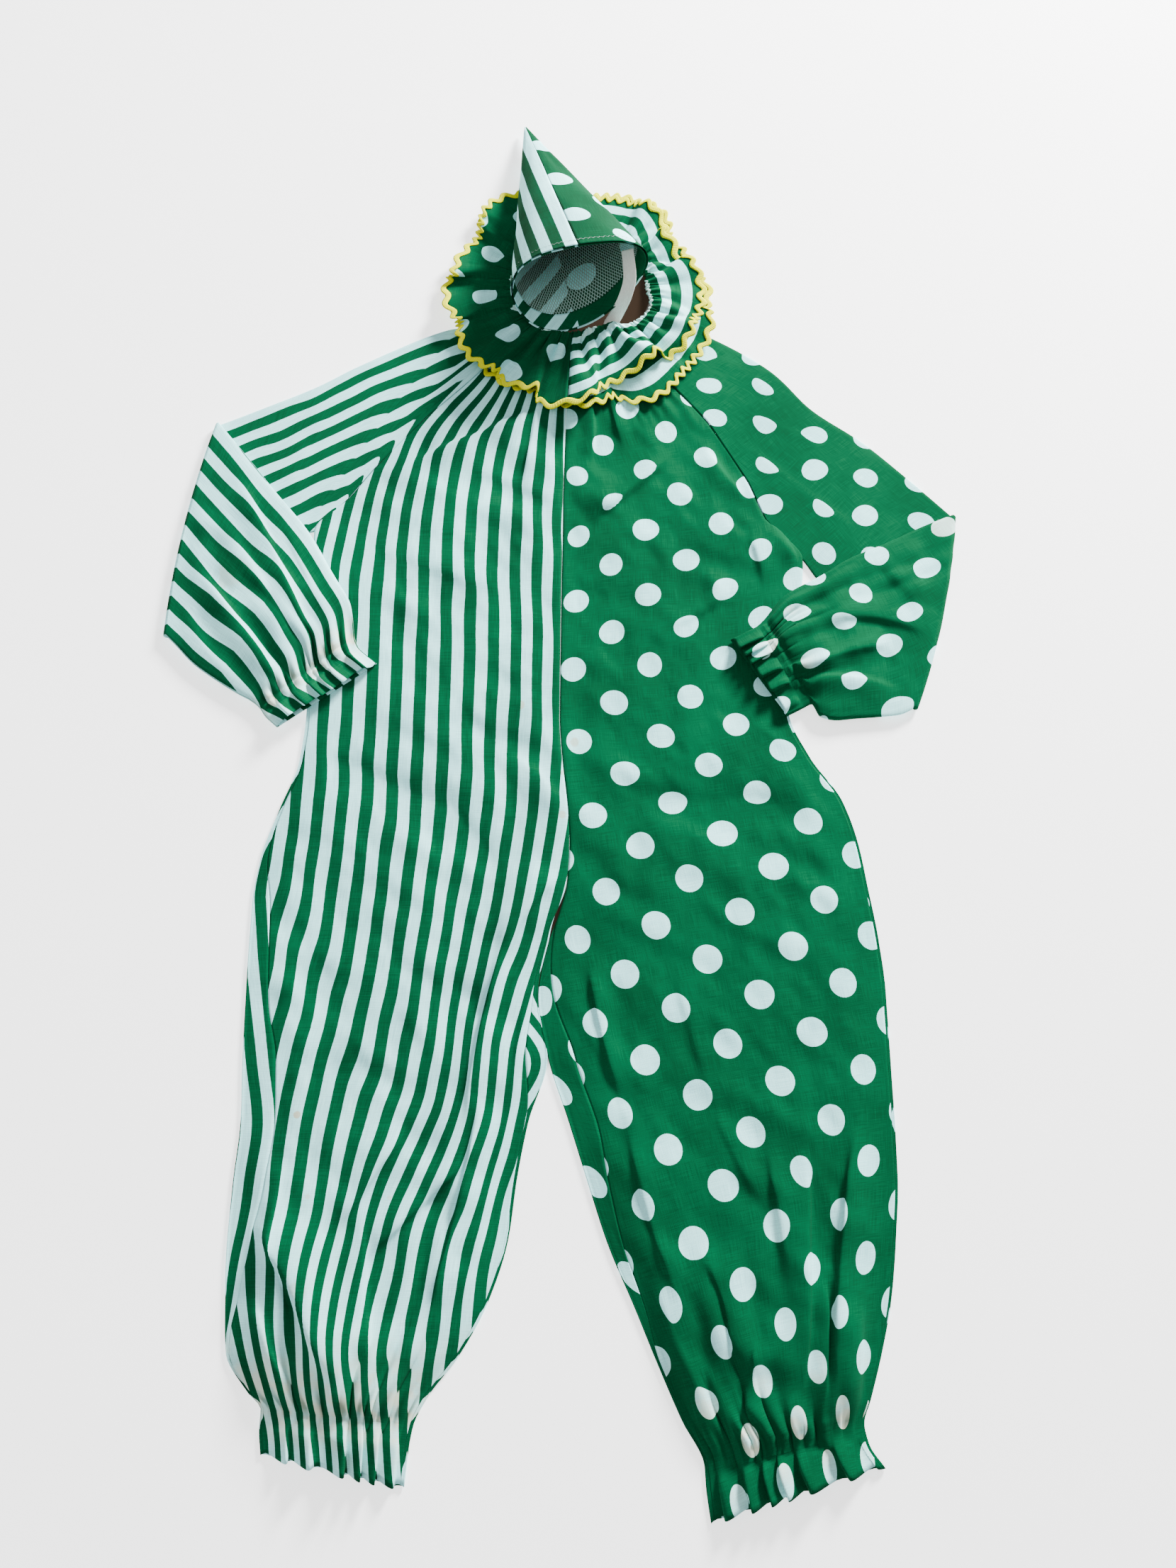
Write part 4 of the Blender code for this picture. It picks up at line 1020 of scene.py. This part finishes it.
def lay_collar(name, start, end, across_grain):
    """Half of the collar: both ruffles and the folded neck edge between them, in one sheet."""
    angle = np.linspace(start, end, COLLAR_STEPS)[:, None]
    out = np.linspace(1, 0, COLLAR_SHARES)[None, :]
    under = ruffle("under", angle + 0 * out, out + 0 * angle)
    top = ruffle("top", angle + 0 * out, out[:, ::-1] + 0 * angle)
    neck = np.repeat(ruffle("under", angle, 0 * angle), 3, axis=1)
    neck_top = ruffle("top", angle, 0 * angle)
    inwards = unit(COLLAR_CENTRE - neck[..., :2])
    for k, part in enumerate((0.25, 0.5, 0.75)):
        neck[:, k, 2] += (neck_top[:, 0, 2] - neck[:, k, 2]) * part
        neck[:, k, :2] += inwards[:, k] * COLLAR_GAP / 2 * math.sin(math.pi * part)
    places = np.concatenate([under, neck, top], axis=1)
    depth = np.concatenate([-out[0], [0, 0, 0], out[0, ::-1]])
    reach = depth_at("top", angle) * 1.06
    across = np.abs(depth) * reach
    along = np.radians(angle) * EDGE_LENGTH + (depth < 0) * 0.6
    cloth = [reach - across + STRIPE_PHASE, along] if across_grain else [along, across + 0.01]
    age = 0.5 * ease(0.2, 0.0, np.abs(depth)) + 0 * along
    lay_sheet(name, places, np.dstack(cloth), age=age)


def lay_rickrack(name, layer):
    """Rickrack on top of a ruffle's edge: a flat braid woven in even waves."""
    radians = np.radians(np.linspace(-178.5, 178.5, 1150))[:, None]
    run = radians * BRAID_RADIUS
    phase = 2 * math.pi * run / BRAID_WAVE
    rail = np.linspace(-1, 1, 5)[None, :]
    degrees = np.degrees(radians) + 0 * rail
    share = 1 + (0.0034 * np.sin(phase) + rail * 0.0033 - 0.0005) / depth_at(layer, degrees)
    slide = -0.0006 * rail * np.cos(phase) / BRAID_RADIUS
    places = ruffle(layer, degrees + np.degrees(slide), np.clip(share, 0.8, 1.2))
    normal = unit(np.cross(np.gradient(places, axis=1), np.gradient(places, axis=0)))
    normal *= np.sign(normal[..., 2:3] + 1e-9)
    places = places + normal * (0.0011 - 0.0003 * rail[..., None] ** 2)
    cloth = np.dstack([rail * 0.003 + 0 * radians, run + 0 * rail])
    lay_sheet(name, places, cloth, wall=0.0009)


TRIM = 0.12
lay_collar("ruffle_dotted", -180 + TRIM, COLLAR_FRONT_SEAM - TRIM, False)
lay_collar("ruffle_striped", COLLAR_FRONT_SEAM + TRIM, 180 - TRIM, True)
lay_rickrack("rickrack_over", "top")
lay_rickrack("rickrack_below", "under")

# %% [markdown]
# ## Hat
# A cone of two halves lies on its side over the back of the collar. A stiff net lines
# it, the hem is turned inside the rim and zigzagged down, and an elastic hangs from
# the rim. The net is a grid of slanting squares, each with a hole.

# %% Hat shape
HAT_TIP = np.array([-0.058, 0.8514, 0.0085])
TIP_SIZE = 0.016
RIM_CENTRE = np.array([0.016, 0.544, 0.0685])
RIM_SIDE = np.array([0.084, 0.009, 0.0])
RIM_UP = np.array([0.018, 0.017, 0.058])
RIM_LEAN = np.array([0.0, 0.018, 0.0])
RIM_SAG = np.array([-0.004, -0.009, 0.001])
HAT_SEAM = 103
HEM_START = 0.93
HAT_RADIUS = 0.0725             # of the rim as it was cut
HAT_SLANT = 0.315


def hat_place(along, degrees, inset=0.0):
    """Places on the cone: along from tip to rim, round from the wearer's left side."""
    turn = np.radians(degrees)[..., None]
    along = along[..., None]
    size = TIP_SIZE + (1 - TIP_SIZE) * along
    centre = HAT_TIP + (RIM_CENTRE - HAT_TIP) * along
    around = RIM_SIDE * np.cos(turn) + RIM_UP * np.sin(turn) + RIM_LEAN * np.cos(turn) ** 2
    around = around + RIM_SAG * np.minimum(np.sin(turn), 0) ** 2
    spoke = around * size
    length = np.maximum(np.linalg.norm(spoke, axis=-1, keepdims=True), 1e-6)
    dents = soft_noise(2.4 * np.cos(turn[..., 0]) + 9, 2.4 * np.sin(turn[..., 0]) + 5 * along[..., 0] + 9, 33)
    slack = 0.0013 * dents[..., None] * ease(0.05, 0.3, along)
    return centre + spoke * (1 - (inset - slack) / np.maximum(length, 4 * abs(inset) + 1e-6))


def hat_cloth(along, degrees):
    """Cone cloth rolled flat: metres from the seam line and from the tip."""
    opened = np.radians(degrees - HAT_SEAM) * HAT_RADIUS / HAT_SLANT
    return np.dstack([along * HAT_SLANT * np.sin(opened), along * HAT_SLANT * np.cos(opened)])


def lay_hat_half(name, start):
    along = np.linspace(0, 1, 80)[:, None] ** 0.8
    size = TIP_SIZE + (1 - TIP_SIZE) * along
    trim = math.degrees(0.00006 / 0.084) / size
    degrees = start + trim + (180 - 2 * trim) * np.linspace(0, 1, 64)[None, :]
    along = along + 0 * degrees
    offset = (0.0168, 0) if name.endswith("striped") else (0.011, -0.0564)
    lay_sheet(name, hat_place(along, degrees), hat_cloth(along, degrees) + offset)


lay_hat_half("cone_dotted", HAT_SEAM - 180)
lay_hat_half("cone_striped", HAT_SEAM)

# %% Net lining with holes
NET_PITCH = 0.0038
NET_HOLE = 0.74                 # of each square
NET_AROUND = 130
NET_START, NET_RUN = 0.105, 0.88


def lay_net(name):
    """A net of slanting squares, each with a diamond hole, over the inside of the cone."""
    rows = int(NET_RUN * HAT_SLANT / NET_PITCH)
    places, faces = [], []
    for i in range(rows + 1):
        for j in range(NET_AROUND):
            first = len(places)
            for di, dj in ((-1, 0), (0, 0.5), (1, 0), (0, -0.5)):
                for reach in (1.0, NET_HOLE):
                    places.append((NET_START + NET_RUN * (i + di * reach) / rows,
                                   360 * (j + 0.5 * (i % 2) + dj * reach) / NET_AROUND))
            for k in range(0, 8, 2):
                a, b = first + k, first + (k + 2) % 8
                faces.append((a, b, b + 1, a + 1))
    along, degrees = np.array(places).T
    spots = hat_place(np.clip(along, 0.10, 0.988), HAT_SEAM + degrees, WALL / 2 + 0.0016)
    piece = build_mesh(name, spots, faces)
    weld(1e-5)
    area = sum(face.area for face in piece.data.polygons)
    print(f"{name}: {len(piece.data.polygons)} faces, {area:.3f} square metres")


lay_net("net_lining")

# %% Turned hem and elastic
def lay_hat_hem(name):
    along = np.linspace(1.0, HEM_START, 10)[:, None]
    degrees = HAT_SEAM + 360 * np.linspace(0, 1, 160)[None, :]
    wave = 0.0012 * np.sin(np.radians(degrees) * 9) * ease(0.985, HEM_START, along)
    along = along + 0 * degrees
    places = hat_place(along, degrees, 0.0030) + np.dstack([0 * wave, 0 * wave, 0.3 * wave])
    cloth = hat_cloth(along, degrees)
    lay_sheet(name, places, cloth, closed=True)


def hem_is_striped(place):
    """Which side of the hat's two seams a place on the hem is."""
    ends = hat_place(np.array([1.0, 1.0]), np.array([HAT_SEAM, HAT_SEAM + 180.0]))
    line = ends[1] - ends[0]
    return line[2] * (place[0] - ends[0, 0]) - line[0] * (place[2] - ends[0, 2]) > 0


lay_hat_hem("hem_turned_inside")

STRAP_ROUTE = [
    (0.076, 0.584, 0.086), (0.079, 0.556, 0.070), (0.073, 0.544, 0.044),
    (0.064, 0.541, 0.019), (0.058, 0.538, 0.006), (0.054, 0.521, 0.003),
]


def lay_strap(name):
    route = np.array(STRAP_ROUTE)
    length = run_length(route)
    at = np.linspace(0, length[-1], 70)
    middle = np.column_stack([through(length, route[:, k], at) for k in range(3)])
    part = np.clip(1 - middle[:, 2:3] / 0.088, 0, 1)
    across = np.array([0.62, -0.25, 0.55]) * (1 - part) + np.array([0.92, -0.25, 0.0]) * part
    across = unit(across)
    rail = np.linspace(-0.0095, 0.0095, 15)
    places = middle[:, None] + across[:, None] * rail[None, :, None]
    cloth = np.dstack([rail[None, :] + 0 * at[:, None], at[:, None] + 0 * rail[None, :]])
    lay_sheet(name, places, cloth, wall=0.0012)


lay_strap("chin_elastic")

# %% [markdown]
# ## Stitching
# A dark zigzag holds the hat's hem. A stitch is a short flat thread, raised in its
# middle, and one small mesh holds the whole row.

# %% Row of stitches
def lay_zigzag(name, line, up, across, length, swing, width=0.00045):
    """Short threads from side to side of a line of places, lifted a little off the cloth."""
    run = run_length(line)
    spots, faces = [], []

    def at(distance):
        return np.array([np.interp(distance, run, line[:, k]) for k in range(3)])

    for number, start in enumerate(np.arange(0, run[-1] - length, length)):
        near = min(int(start / run[-1] * len(line)), len(line) - 1)
        lift = up[near] * 0.0004
        way = across[near] * swing * (1 if number % 2 else -1)
        a, b = at(start) - way, at(start + length) + way
        side = np.cross(unit(b - a), unit(lift)) * width / 2
        for centre, raised in ((a, 0.6), ((a + b) / 2, 1.6), (b, 0.6)):
            spots += [centre - side + lift * raised, centre + side + lift * raised]
        first = 6 * number
        faces += [(first, first + 1, first + 3, first + 2), (first + 2, first + 3, first + 5, first + 4)]
    build_mesh(name, spots, faces)
    print(f"{name}: {len(faces) // 2} stitches")


rim_degrees = np.linspace(HAT_SEAM - 115, HAT_SEAM + 115, 400)
rim_line, rim_out, rim_along = (hat_place(along + 0 * rim_degrees, rim_degrees, inset)
                                for along, inset in ((0.965, -0.0004), (0.965, -0.004), (0.975, -0.0004)))
lay_zigzag("rim_zigzag", rim_line, unit(rim_out - rim_line), unit(rim_along - rim_line), 0.0030, 0.0013)

# %% [markdown]
# ## Cloth, braid, net and elastic
# The cloth is a thin printed cotton. Its print reads the cloth coordinates, so a
# stripe keeps its width round every fold. Fine slubs run both ways through the weave,
# old folds and wear vary the colour, and gathers and a few spots have yellowed.
# Shade is painted in as well: the cloth darkens in the pucker valleys by the elastics, and the hat's cloth
# and its white net have darker copies of their colours.

# %% Colours, print and stains
GREEN = (0.0, 0.080, 0.030, 1)
DEEP_GREEN = (0.0, 0.046, 0.016, 1)
WHITE = (0.48, 0.98, 0.97, 1)
GREY_WHITE = (0.31, 0.66, 0.68, 1)
AGED = (0.72, 0.70, 0.52, 1)
TAN = (0.50, 0.40, 0.24, 1)
STRIPE_REPEAT = 0.0268
STRIPE_MIDDLE = 0.0097
DOT_SIDE = HALF_REPEAT * math.sqrt(2)
DOT_RADIUS = 0.0160
BLEED = 0.0002                  # half the width of a printed edge
THREAD_PITCH = 0.0011

Stain = namedtuple("Stain", "x y radius strength")
STAINS = table(Stain, [
    (-0.051, 0.002, 0.0060, 0.55), (0.012, -0.043, 0.0065, 0.50), (-0.002, -0.081, 0.0030, 0.5),
    (-0.002, -0.132, 0.0045, 0.5), (-0.279, -0.466, 0.0038, 0.75), (-0.262, -0.549, 0.0030, 0.35),
    (-0.178, -0.550, 0.0028, 0.35), (0.458, 0.236, 0.0180, 0.45), (-0.205, -0.463, 0.0020, 0.45),
    (-0.262, -0.640, 0.0090, 0.30), (-0.396, 0.170, 0.0200, 0.25), (0.291, 0.012, 0.0140, 0.40),
])


# %% Printed cotton
def printed_cotton(name, print_kind, depth=1.0):
    """Cotton printed with stripes or dots; a depth below 1 makes the green darker, as painted shade."""
    paint = Paint(name, 0.9, 0.008)
    uv, across, along = paint.cloth()
    place = paint.place()
    op = paint.math
    wobble = op("MULTIPLY", op("SUBTRACT", paint.noise(uv, 160, detail=1.0), 0.5), 0.0005)
    if print_kind == "stripes":
        moved = op("ADD", op("SUBTRACT", across, STRIPE_MIDDLE), wobble)
        from_middle = op("ABSOLUTE", op("WRAP", moved, STRIPE_REPEAT / 2, -STRIPE_REPEAT / 2))
        white = paint.step(from_middle, STRIPE_REPEAT / 4 - BLEED, STRIPE_REPEAT / 4 + BLEED)
    else:
        slants = [op("MULTIPLY", op(way, across, along), math.sqrt(0.5)) for way in ("ADD", "SUBTRACT")]
        a, b = (op("WRAP", slant, DOT_SIDE / 2, -DOT_SIDE / 2) for slant in slants)
        radius = op("ADD", op("SQRT", op("ADD", op("MULTIPLY", a, a), op("MULTIPLY", b, b))), wobble)
        white = paint.step(radius, DOT_RADIUS + BLEED, DOT_RADIUS - BLEED)
    slub = op("ADD", *[paint.noise(uv, 1.0, stretch, 3.0) for stretch in ((1500, 38, 1), (38, 1500, 1))])
    fading = paint.noise(place, 9.0, detail=3.0)
    tone = paint.step(op("ADD", op("MULTIPLY", slub, 0.55), op("MULTIPLY", fading, 0.5)), 0.62, 1.00)
    green = paint.mix(tone, *[[depth * part for part in colour[:3]] + [1] for colour in (DEEP_GREEN, GREEN)])
    pale = paint.mix(tone, GREY_WHITE, WHITE)
    blotch = paint.noise(place, 60.0, detail=3.0)
    aged = op("MULTIPLY", paint.attribute("age"), paint.step(blotch, 0.35, 0.65, 0.25, 0.85))
    pale = paint.mix(aged, pale, AGED)
    ground = paint.add("VectorMath", [(0, place), (1, (1, 1, 0))], operation="MULTIPLY").outputs[0]
    ragged = op("SUBTRACT", blotch, 0.5)
    for stain in STAINS:
        away = paint.distance(ground, (stain.x, stain.y, 0))
        edge = op("ADD", away, op("MULTIPLY", ragged, stain.radius * 1.6))
        spot = paint.step(edge, stain.radius * 1.15, stain.radius * 0.75, 0.0, stain.strength)
        pale = paint.mix(spot, pale, TAN)
    colour = paint.mix(white, green, pale)
    # Painted shade: the colour goes towards deep green in the pucker valleys by the elastics, as far as the
    # pucker attribute says.
    pucker_shade_colour = paint.mix(0.2, DEEP_GREEN, colour)
    colour = paint.mix(op("MULTIPLY", paint.attribute("pucker"), 0.9), colour, pucker_shade_colour)
    threads = [op("SINE", op("MULTIPLY", way, 2 * math.pi / THREAD_PITCH)) for way in (across, along)]
    relief = op("ADD", op("MULTIPLY", op("ADD", *threads), 0.25), slub)
    return paint.finish(colour, relief, 0.22, 0.00025)


striped_cotton = printed_cotton("striped_cotton", "stripes")
dotted_cotton = printed_cotton("dotted_cotton", "dots")
# The hat's cotton is a copy with its green painted darker as shade, because the cone faces the window light
# and would read lighter than the suit.
striped_hat_cotton_shaded = printed_cotton("striped_hat_cotton_shaded", "stripes", 0.72)
dotted_hat_cotton_shaded = printed_cotton("dotted_hat_cotton_shaded", "dots", 0.72)


# %% Braid, net, elastic and thread
def woven_band(name, colour, dark, pitch, roughness, sheen):
    """A band with ribs along and across its cloth coordinates."""
    paint = Paint(name, roughness, sheen)
    uv, *ways = paint.cloth()
    op = paint.math
    ribs = [op("SINE", op("MULTIPLY", way, 2 * math.pi / step)) for way, step in zip(ways, pitch)]
    both = op("ADD", *[op("MULTIPLY", rib, 0.5) for rib in ribs])
    patchy = op("MULTIPLY", paint.noise(uv, 220), 1.4)
    tone = paint.step(op("ADD", both, patchy), -0.3, 1.1)
    return paint.finish(paint.mix(tone, dark, colour), both, 0.5, 0.0004)


yellow_braid = woven_band("yellow_braid", (0.70, 0.70, 0.0, 1), (0.55, 0.54, 0.0, 1),
                          (0.0015, 0.0012), 0.8, 0.0)
white_elastic = woven_band("white_elastic", (0.80, 0.79, 0.74, 1), (0.58, 0.57, 0.52, 1),
                           (0.0019, 0.0011), 0.75, 0.1)


def plain_fibre(name, colour, dark, scale):
    """Net or thread in one colour with a fine grain."""
    paint = Paint(name, 0.7, 0.05)
    grain = paint.noise(paint.place(), scale)
    return paint.finish(paint.mix(grain, dark, colour), grain, 0.3, 0.0002)


# Painted shade: the white net is given a dark grey-green, the colour it shows in the shadow inside the cone.
white_net_shaded = plain_fibre("white_net_shaded", (0.34, 0.50, 0.45, 1), (0.24, 0.37, 0.33, 1), 900)
thread_dark = plain_fibre("thread_dark", (0.30, 0.36, 0.33, 1), (0.16, 0.22, 0.20, 1), 1500)
print("materials:", len(bpy.data.materials))

# %% [markdown]
# ## Dress the pieces
# Each piece takes its material, rides with the model and stands for its part.

# %% Table of pieces
Piece = namedtuple("Piece", "name node material slot flat area held rests_on")
PIECES = table(Piece, [
    ("front_striped_right", "front_right", striped_cotton, "stripes", (0.40, 1.36), 0.42, "laid",
     ["back_striped_right"]),
    ("back_striped_right", "back_right", striped_cotton, "stripes", (0.42, 1.36), 0.44, "laid", []),
    ("front_dotted_left", "front_left", dotted_cotton, "dots", (0.40, 1.36), 0.42, "laid",
     ["back_dotted_left"]),
    ("back_dotted_left", "back_left", dotted_cotton, "dots", (0.42, 1.36), 0.44, "laid", []),
    ("sleeve_striped_right", "sleeve_right", striped_cotton, "stripes", (0.62, 0.68), 0.30, "folded",
     ["front_striped_right"]),
    ("sleeve_dotted_left", "sleeve_left", dotted_cotton, "dots", (0.62, 0.68), 0.30, "folded",
     ["front_dotted_left"]),
    ("ruffle_dotted", "collar_dots", dotted_cotton, "dots", (0.16, 0.56), None, "gathered",
     ["front_striped_right"]),
    ("ruffle_striped", "collar_stripes", striped_cotton, "stripes", (0.16, 0.56), None, "gathered",
     ["front_dotted_left"]),
    ("rickrack_over", "rickrack_top", yellow_braid, "rickrack", (0.013, 1.04), 0.0094, "laid",
     ["ruffle_dotted", "ruffle_striped"]),
    ("rickrack_below", "rickrack_under", yellow_braid, "rickrack", (0.013, 1.04), 0.0094, "laid",
     ["ruffle_dotted", "ruffle_striped"]),
    ("cone_dotted", "hat_dots", dotted_hat_cotton_shaded, "dots", (0.24, 0.32), 0.038, "folded", ["ruffle_dotted"]),
    ("cone_striped", "hat_stripes", striped_hat_cotton_shaded, "stripes", (0.24, 0.32), 0.038, "folded",
     ["ruffle_dotted"]),
    ("net_lining", "hat_mesh", white_net_shaded, "mesh", (0.42, 0.32), 0.045, "folded", ["cone_dotted"]),
    ("hem_turned_inside", "hat_hem", dotted_cotton, "dots", (0.025, 0.46), None, "folded", ["net_lining"]),
    ("chin_elastic", "hat_elastic", white_elastic, "elastic", (0.019, 0.13), None, "hung", ["net_lining"]),
    ("rim_zigzag", None, thread_dark, "elastic", None, None, None, None),
])
for row in PIECES:
    piece = bpy.data.objects[row.name]
    piece.data.materials.append(row.material)
    if row.node == "hat_hem":
        piece.data.materials.append(striped_cotton)
        for face in piece.data.polygons:
            face.material_index = int(hem_is_striped(face.center))
    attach(piece, "root")
    if row.node:
        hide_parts(row.node)
    triangles = sum(len(face.vertices) - 2 for face in piece.data.polygons)
    print(f"{piece.name}: {triangles} triangles")
